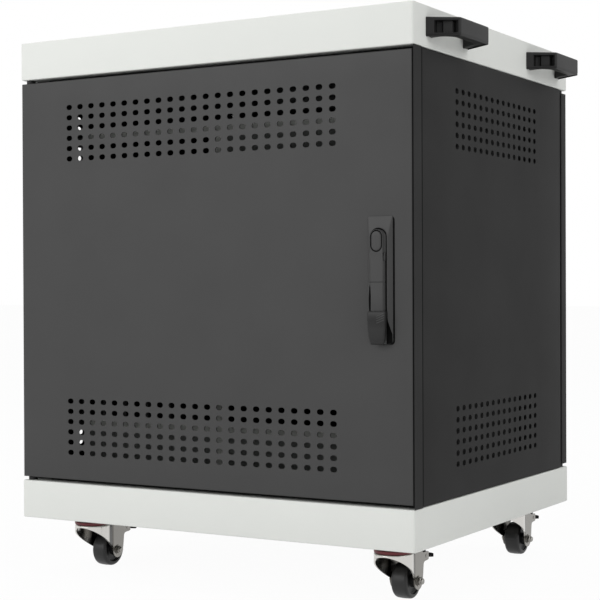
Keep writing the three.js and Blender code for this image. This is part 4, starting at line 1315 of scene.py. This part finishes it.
@dataclass
class PushHandle:
    """A bow handle on the cover's side: two slanted legs with cored pockets, and a bar between them."""

    wall: float = 325.3
    reach: float = 39.7
    level: float = 760.8
    foot: float = 67.0
    bar: float = 45.5
    bar_start: float = 3.0
    leg: float = 18.0
    bar_thick: float = 13.0
    half_foot: float = 12.8
    half_bar: float = 12.0
    arch: float = 1.3
    corner: float = 1.8
    pocket_start: float = 0.25
    pocket_end: float = 0.92
    pocket_half: float = 7.8
    pocket_edge: float = 0.5
    pocket_step: float = 0.47
    pocket_rear: float = 0.8
    pocket_depth: float = 12.5
    pocket_floor: Span = (0.55, 0.35)  # shares of the depth beyond the step

    def plan(self) -> tuple[Points, Points, Points]:
        """Work out the bow in plan.

        Along each leg a station lies at one share of the leg on the outer and the inner edge alike, and at
        each corner a quadratic curve runs from the leg to the bar.

        Returns:
            Outer edge, inner edge, and each station's share of its leg, or two on the bar.
        """
        lean = (self.foot - self.bar) / self.reach
        inner_reach, inner_foot = self.reach - self.bar_thick, self.foot - self.leg
        inner_bar = inner_foot - lean * inner_reach
        gap = 0.012
        shares = np.array(
            [
                *(0.0, 0.1),
                *around(self.pocket_start, gap),
                0.36,
                *around(self.pocket_step, 2 * gap),
                *(0.58, 0.69),
                *around(self.pocket_rear, gap),
                *around(self.pocket_end, gap),
                0.96,
            ]
        )
        bend = np.linspace(0, 1, 6)[1:-1][:, None]
        edges = []
        for depth, start, stop in ((self.reach, self.foot, self.bar), (inner_reach, inner_foot, inner_bar)):
            leg_line = np.array([0, -start]) + shares[:, None] * np.array([depth, start - stop])
            corner, after = np.array([depth, -stop]), np.array([depth, -stop + self.bar_start])
            curve = (1 - bend) ** 2 * leg_line[-1] + 2 * bend * (1 - bend) * corner + bend**2 * after
            half = np.vstack([leg_line, curve, after])
            edges.append(np.vstack([half, half[::-1] * [1, -1]]))
        half_shares = np.concatenate([shares, np.full(len(bend) + 1, 2.0)])
        return edges[0], edges[1], np.concatenate([half_shares, half_shares[::-1]])

    def build(self, name: str, centre: float) -> None:
        """Make a handle: at each station a rounded section between the two edges, sunk where a pocket lies.

        Args:
            name: the node that it stands for.
            centre: the handle's middle along the side.
        """
        outer, inner, share = self.plan()
        across = outer - inner
        thick = np.linalg.norm(across, axis=1)[:, None]
        on_leg = np.clip(share, 0, 1)[:, None]
        half = np.interp(on_leg, [0, 1], [self.half_foot, self.half_bar])
        arch = self.arch * np.sin(np.pi * on_leg)
        lip, edge, r = self.pocket_half, self.pocket_edge, self.corner
        face = np.array([*around(-lip, edge), -lip / 2, 0.0, lip / 2, *around(lip, edge)])
        side, up = arc(r, 0, 90, 3).T
        t, ones = thick / 2, np.ones_like(thick)
        depth = np.hstack([t - r + up[::-1], t * np.ones(len(face)), t - r + side, r - t - up, r - t - side])
        height = np.hstack(
            [r - half - side[::-1], ones * face, half - r + up, half - r + side, r - half + arch - up]
        )
        sunk = np.zeros(depth.shape, bool)
        in_pocket = (share > self.pocket_start) & (share < self.pocket_end)
        sunk[:, len(side) + 1 : len(side) + len(face) - 1] = in_pocket[:, None]
        steps = [*around(self.pocket_step, 0.02), *around(self.pocket_rear, 0.01)]
        slope = np.interp(share, steps, [1.0, *self.pocket_floor, 1.0])
        depth = depth - self.pocket_depth * slope[:, None] * sunk
        plan = (outer + inner)[:, None, :] / 2 + depth[..., None] * (across / thick)[:, None, :]
        bow = loft(np.concatenate([plan, height[..., None]], -1)).moved((self.wall, centre, self.level))
        piece = name.replace("push_handle", "bow_handle")
        make_piece(piece, bow, BLACK_NYLON, "cabinet", (name,), sharp_deg=40)


# Casters


@dataclass
class Caster:
    """A swivel caster: seal, pressed fork, wheel on a bolt, and brake pedal, drawn about its swivel axis."""

    name: str
    place: Span
    crown_top: float = 68.6
    crown_radius: float = 27.0
    crown_edge: float = 2.5
    crown_rear: float = 45.0
    skirt_low: float = 64.8
    skirt_end: Span = (24.6, 28.0)
    plate_half: float = 19.0
    fold_y: float = 24.0
    tail_start: float = 52.0
    tail_top: float = 61.6
    tail_rear: float = 68.5
    tail_bevel: Span = (2.0, 1.2)
    tail_steps: tuple[float, ...] = (0.0, 1.5, 3.5, 5.5, 8.0, 17.0, 19.5)
    tail_levels: tuple[float, ...] = (25.0, 29.0, 46.0, 48.3, 49.0, 49.6, 50.5)
    fork_sheet: float = 2.0
    trail: float = 37.0
    wheel_radius: float = 25.0
    wheel_half: float = 12.0
    wheel_shoulder: float = 4.0
    wheel_crown: float = 0.3
    lobe: float = 12.0
    seal_levels: Span = (68.9, 72.9)
    seal_radii: Span = (18.0, 27.0)
    seal_edge: float = 0.6
    plate_low: float = 81.2
    plate_bolt: float = 25.5
    brake_y: float = 61.5
    brake_z: float = 55.6
    pin_out: float = 0.9
    joint: float = 0.1

    def fork_path(self) -> Points:
        """The fork's outline in plan, from the left plate's rear round the front to the right plate's rear.

        The plates are straight, then each swells by a quarter of a cosine wave to the front's half circle.

        Returns:
            Points of two.
        """
        waist = self.trail + self.lobe
        stretches = (
            (self.tail_rear, self.tail_start + 2.5, 6),
            (self.tail_start + 1, waist, 7),
            (waist - 2, self.crown_rear, 2),
            (self.crown_rear - 3, self.trail - self.lobe + 0.4, 8),
        )
        plate = np.concatenate([*(np.linspace(*stretch) for stretch in stretches), [self.skirt_end[0]]])
        taper = np.linspace(self.fold_y, 0, 9)
        swell = (self.crown_radius - self.plate_half) * np.cos(taper / self.fold_y * math.pi / 2)
        across = self.plate_half + np.concatenate([np.zeros(len(plate)), swell])
        half = np.column_stack([across, np.concatenate([plate, taper])])
        front = arc(self.crown_radius, 180, 360, 24)[1:-1]
        return np.vstack([half * [-1, 1], front, half[::-1]])

    def fork(self) -> Surface:
        """The pressed fork's outer face.

        Rows of points rise along the path from the lower edge to the crown's edge. The lower edge slopes down
        to a round lobe about the axle and steps up to the tail. Over the front the rows go on round a quarter
        circle to the flat crown.

        Returns:
            The fork as an open sheet.
        """
        path = self.fork_path()
        along = path[:, 1]
        waist = self.trail + self.lobe
        skirt = np.interp(along, [-self.crown_radius, self.skirt_end[0]], [self.skirt_low, self.skirt_end[1]])
        lobe = self.wheel_radius - np.sqrt(np.clip(self.lobe**2 - (along - self.trail) ** 2, 0, None))
        tail = np.interp(along, waist + np.array(self.tail_steps), self.tail_levels)
        low = np.where(along <= self.skirt_end[0], skirt, np.where(along <= waist, lobe, tail))
        wall_top = self.crown_top - self.crown_edge
        bevel_y, bevel_z = self.tail_bevel
        top = np.interp(
            along,
            [self.crown_rear, self.tail_start, self.tail_rear - bevel_y, self.tail_rear],
            [wall_top, self.tail_top, self.tail_top, self.tail_top - bevel_z],
        )
        rise = np.linspace(0, 1, 9)[:, None]
        level = low * (1 - rise) + top * rise
        wall = np.concatenate([np.broadcast_to(path, (*level.shape, 2)), level[..., None]], -1)
        tangent = np.gradient(path, axis=0)
        tangent /= np.linalg.norm(tangent, axis=1)[:, None]
        outward = np.column_stack([tangent[:, 1], -tangent[:, 0]])
        under = np.flatnonzero(along <= self.crown_rear)
        sine, cosine = (part[1:] for part in quarter(4))
        rim = path[under] - self.crown_edge * (1 - cosine[:, None, None]) * outward[under]
        crown = at_levels(rim, wall_top + self.crown_edge * sine)
        rows, columns = wall.shape[:2]
        start = rows * columns
        edge = (rows - 1) * columns + under
        first = start + np.arange(len(under))
        joint = np.stack([edge[:-1], edge[1:], first[1:], first[:-1]], -1)
        round_faces = grid_faces(len(crown), len(under), False, False) + start
        last = start + (len(crown) - 1) * len(under)
        faces = [
            *grid_faces(rows, columns, False, False).tolist(),
            *joint.tolist(),
            *round_faces.tolist(),
            list(range(last, last + len(under))),
        ]
        return Surface(np.vstack([wall.reshape(-1, 3), crown.reshape(-1, 3)]), faces)

    def fork_reflection_shade(self, along: Points) -> Points:
        """How much painted reflection darkens the nickel: none on the skirt, full on the plates, and most in
        the fold between.

        Args:
            along: the places of the fork's points along the caster.

        Returns:
            Values for the outer face's points, then for the inner face's.
        """
        outside = np.interp(along - self.fold_y, [-19, -15, -3, 1, 3], [0.0, 1.7, 1.7, 1.3, 1.0])
        inside = np.interp(along - self.fold_y, [-12, -2], [0.0, 1.5])
        return np.concatenate([outside, inside])

    def wheel(self) -> Surface:
        """The wheel, turned about its bolt.

        Returns:
            A ring with a crowned tread, round shoulders, a sunk web and a hub.
        """
        sine, cosine = quarter(5)
        edge_r = self.wheel_radius - self.wheel_crown - self.wheel_shoulder * (1 - sine)
        edge_x = self.wheel_half - self.wheel_shoulder * (1 - cosine)
        side = [(4.3, 16.6), (8.6, 16.6), (9.0, 16.2), (9.0, 9.0), (10.0, 8.4), (17.0, 8.4), (18.2, 9.2)]
        side += [(18.6, 11.6), (19.2, 12.0), *zip(edge_r, edge_x), (self.wheel_radius, 3.0)]
        profile = [(r, -x) for r, x in side] + side[::-1]
        return lathe(profile, 56, Axis.X, ring=True).moved((0.0, self.trail, self.wheel_radius))

    def bolt(self) -> Surface:
        """The axle through the fork's plates.

        Returns:
            A shank with a washer on each side, a hexagon head on the left and a nut on the right.
        """
        out = self.plate_half + self.joint
        parts = [lathe([(4.0, -out - 1), (4.0, out + 6.4), (3.4, out + 7.0)], 20, Axis.X)]
        for a, b in ((-out - 1.0, -out), (out, out + 1.0)):
            parts.append(lathe([(7.2, a), (7.2, b)], 24, Axis.X))
        for a, b in ((-out - 4.2, -out - 1.0), (out + 1.0, out + 4.4)):
            parts.append(lathe([(5.4, a), (6.0, a + 0.5), (6.0, b - 0.5), (5.4, b)], 6, Axis.X))
        return join(parts).moved((0.0, self.trail, self.wheel_radius))

    def pedal(self) -> Surface:
        """The brake pedal: sections carried rearwards, from a cam block between the plates to a sloping bar.

        Each section gives its place along the caster, half width, lower and upper level.

        Returns:
            The closed pedal.
        """
        sections = [
            (50.4, 15.0, 53.4, 60.6),
            (51.6, 16.2, 52.2, 64.0),
            (57.0, 16.2, 51.6, 65.2),
            (64.8, 16.2, 52.0, 64.6),
            (66.0, 15.4, 53.0, 62.0),
            (66.4, 8.0, 53.4, 57.8),
            (69.6, 8.0, 53.4, 57.8),
            (70.2, 17.4, 52.6, 58.2),
            (71.0, 18.7, 52.2, 58.6),
            (78.0, 19.0, 51.0, 57.4),
            (84.4, 18.7, 50.0, 56.2),
            (85.4, 17.2, 50.8, 55.2),
        ]
        along, half, low, high = np.array(sections[::-1]).T[..., None]
        across, up = rounded_loop(1.0, 1.0, 0.35, 3).T
        levels = (low + high) / 2 + (high - low) / 2 * up
        return loft(np.stack([half * across, np.broadcast_to(along, levels.shape), levels], -1))

    def brake_pin(self) -> Surface:
        """The pedal's cross pin.

        Returns:
            The pin, with a rounded end at each plate.
        """
        out = self.plate_half + self.pin_out
        end = [(2.6, out - 1), (2.6, out - 0.5), (1.2, out)]
        profile = [(radius, -x) for radius, x in end[::-1]] + end
        return lathe(profile, 20, Axis.X).moved((0.0, self.brake_y, self.brake_z))

    def plate_bolts(self) -> Surface:
        """The bolts under the top plate's corners.

        Returns:
            Four hexagon heads on washers.
        """
        top = self.plate_low - self.joint
        head = lathe([(4.0, top - 4.4), (4.6, top - 4.0), (4.6, top - 1.0)], 6, Axis.Z)
        one = join([head, lathe([(5.8, top - 1.0), (5.8, top)], 20, Axis.Z)])
        reach = around(0.0, self.plate_bolt)
        return join([one.moved((x, y, 0.0)) for x in reach for y in reach])

    def seal(self) -> Surface:
        """The dust seal under the top plate.

        Returns:
            A flat ring with bevelled rims.
        """
        (low, high), (inner, outer), edge = self.seal_levels, self.seal_radii, self.seal_edge
        lower = [(inner, low), (outer - edge, low), (outer, low + edge)]
        upper = [(outer, high - edge), (outer - edge, high), (inner, high)]
        return lathe(lower + upper, 48, Axis.Z, ring=True)

    def build(self) -> None:
        """Make the caster's pieces."""
        seal, fork, axle, wheel, brake = (
            f"{self.name}_{word}" for word in ("seal", "fork", "axle", "wheel", "brake")
        )
        sheet = self.fork()
        # The fork's points carry painted reflection: the nickel is darkened on the plates and in the fold.
        dull = {"wall": self.fork_sheet, "tones": {"dullness": self.fork_reflection_shade(sheet.points[:, 1])}}
        pieces = (
            ("dust_seal", self.seal(), SEAL_RED, "cabinet", (seal,), {}),
            ("fork_sheet", sheet, NICKEL, fork, (fork,), dull),
            ("axle_bolt", self.bolt(), ZINC, fork, (axle,), {}),
            ("tread", self.wheel(), WHEEL_BLACK, wheel, (wheel,), {}),
            ("pedal", self.pedal(), RUBBER_AND_SHADE, brake, (brake,), {}),
            ("pedal_pin", self.brake_pin(), ZINC, brake, (), {}),
            ("plate_bolts", self.plate_bolts(), ZINC, "cabinet", (), {}),
        )
        for name, shape, finish, body, nodes, more in pieces:
            make_piece(f"{self.name}_{name}", shape.moved((*self.place, 0.0)), finish, body, nodes, **more)


# Studio


@dataclass(frozen=True)
class SoftLamp:
    """A square studio lamp that looks at a point, in metres."""

    name: str
    place: Place
    aim: Place
    size: float
    power: float

    def build(self) -> None:
        """Make the lamp: it stands at its place and is turned to look along the line to its aim."""
        lamp = bpy.data.lights.new(self.name, "AREA")
        lamp.size = self.size
        lamp.energy = self.power
        look = Vector(self.aim) - Vector(self.place)
        turn = look.to_track_quat("-Z", "Y").to_matrix().to_4x4()
        put(self.name, lamp).matrix_world = Matrix.Translation(self.place) @ turn


@dataclass
class Studio:
    """Camera, lamps, world and floor."""

    lens_mm: float = 90.335
    sensor_mm: float = 36.0
    place: Place = (1.1513, -2.0007, 0.4230)
    yaw_deg: float = -30.4625
    pitch_deg: float = 0.4432
    roll_deg: float = -0.2327
    ambient: float = 0.5
    floor_half: float = 30.0
    floor_glow: float = 0.96
    lamps: tuple[SoftLamp, ...] = (
        SoftLamp("key_lamp", (-1.3, -3.1, 1.8), (0.0, 0.0, 0.4), 2.2, 49.0),
        SoftLamp("side_lamp", (3.0, -0.4, 1.9), (0.0, 0.0, 0.4), 2.0, 19.0),
        SoftLamp("top_lamp", (0.0, 0.2, 3.2), (0.0, 0.0, 0.4), 2.4, 29.0),
    )

    def build_camera(self) -> None:
        """Make the camera: turned by yaw about the upright, then pitch, then roll about its own axes."""
        turns = ((self.roll_deg, "Y"), (self.pitch_deg, "X"), (self.yaw_deg, "Z"))
        roll, pitch, yaw = (Matrix.Rotation(math.radians(angle), 3, axis) for angle, axis in turns)
        right, ahead, above = roll @ pitch @ yaw
        data = bpy.data.cameras.new("camera")
        data.lens = self.lens_mm
        data.sensor_width = self.sensor_mm
        data.sensor_fit = "HORIZONTAL"
        camera = put("camera", data)
        axes = Matrix((right, above, -ahead)).transposed().to_4x4()
        camera.matrix_world = Matrix.Translation(self.place) @ axes
        bpy.context.scene.camera = camera

    def background_rays(self, tree: bpy.types.NodeTree) -> bpy.types.NodeSocket:
        """One for rays from the camera, mirrors and glass, and zero for light on the object.

        Args:
            tree: the tree that gets the nodes.

        Returns:
            The socket with the factor.
        """
        rays = add_node(tree, "ShaderNodeLightPath").outputs
        largest = partial(add_node, tree, "ShaderNodeMath", {"operation": "MAXIMUM"})
        first = largest({0: rays["Is Camera Ray"], 1: rays["Is Glossy Ray"]})
        return largest({0: first.outputs[0], 1: rays["Is Transmission Ray"]}).outputs[0]

    def build_world(self) -> None:
        """Make a white world that lights the object at its own level."""
        world = bpy.data.worlds.new("studio_white")
        tree = empty_tree(world)
        add = partial(add_node, tree)
        levels = {"To Min": self.ambient, "To Max": 1.0}
        strength = add("ShaderNodeMapRange", levels, {"Value": self.background_rays(tree)})
        white = {"Color": linear("#ffffff")}
        sky = add("ShaderNodeBackground", white, {"Strength": strength.outputs["Result"]})
        add("ShaderNodeOutputWorld", links={"Surface": sky.outputs["Background"]})
        bpy.context.scene.world = world

    def build_floor(self) -> None:
        """Make the pale floor, which shows as white and keeps the cart's shadow."""
        half = self.floor_half
        corners = [(-half, -half, 0), (half, -half, 0), (half, half, 0), (-half, half, 0)]
        mesh = bpy.data.meshes.new("studio_floor")
        mesh.from_pydata(corners, [], [(0, 1, 2, 3)])
        floor = put("studio_floor", mesh)
        paint = bpy.data.materials.new("studio_floor_paint")
        tree = empty_tree(paint)
        add = partial(add_node, tree)
        matt = add("ShaderNodeBsdfDiffuse", {"Color": linear("#f2f2f2")})
        glow = add("ShaderNodeEmission", {"Color": linear("#ffffff"), "Strength": 1.0})
        scale = {"operation": "MULTIPLY", 1: self.floor_glow}
        share = add("ShaderNodeMath", scale, {0: self.background_rays(tree)})
        sockets = {0: share.outputs[0], 1: matt.outputs["BSDF"], 2: glow.outputs["Emission"]}
        both = add("ShaderNodeMixShader", links=sockets)
        add("ShaderNodeOutputMaterial", links={"Surface": both.outputs["Shader"]})
        mesh.materials.append(paint)

    def build(self) -> None:
        """Make the whole studio."""
        bpy.context.scene.view_settings.view_transform = "Standard"
        self.build_camera()
        self.build_world()
        self.build_floor()
        for lamp in self.lamps:
            lamp.build()


# The whole cart


def dress_frame() -> None:
    """Give every node of the frame the finish of its slot."""
    for part in frame["record"]["subparts"]:
        node = frame["nodes"][part["node"]]
        node.data.materials.clear()
        node.data.materials.append(CAD_FINISHES[part["material_slot"]].material())


def main() -> None:
    """Build the studio and the cart's sub-assemblies in order."""
    logging.basicConfig(level=logging.INFO, format="%(message)s")
    Studio().build()
    dress_frame()
    cabinet = Cabinet()
    cabinet.build_trays()
    cabinet.build_panels()
    bays = Bays()
    bays.build_walls()
    bays.build_rails()
    bays.build_trims()
    bays.build_plates()
    bays.build_ceiling()
    power = Power()
    power.build_sockets()
    power.build_inlet()
    for end in End:
        cabinet.build_door(end)
        cabinet.build_post(end)
        cabinet.build_strips(end)
        cabinet.build_pivots(end)
        SwingHandle().build(end)
    for end in End:
        PushHandle().build(f"push_handle_{end.word}", -end.value * HANDLE_ALONG)
    for end in End:
        for side, across in (("left", -CASTER_ACROSS), ("right", CASTER_ACROSS)):
            Caster(f"caster_{end.word}_{side}", (across, -end.value * CASTER_ALONG)).build()


if __name__ == "__main__":
    main()
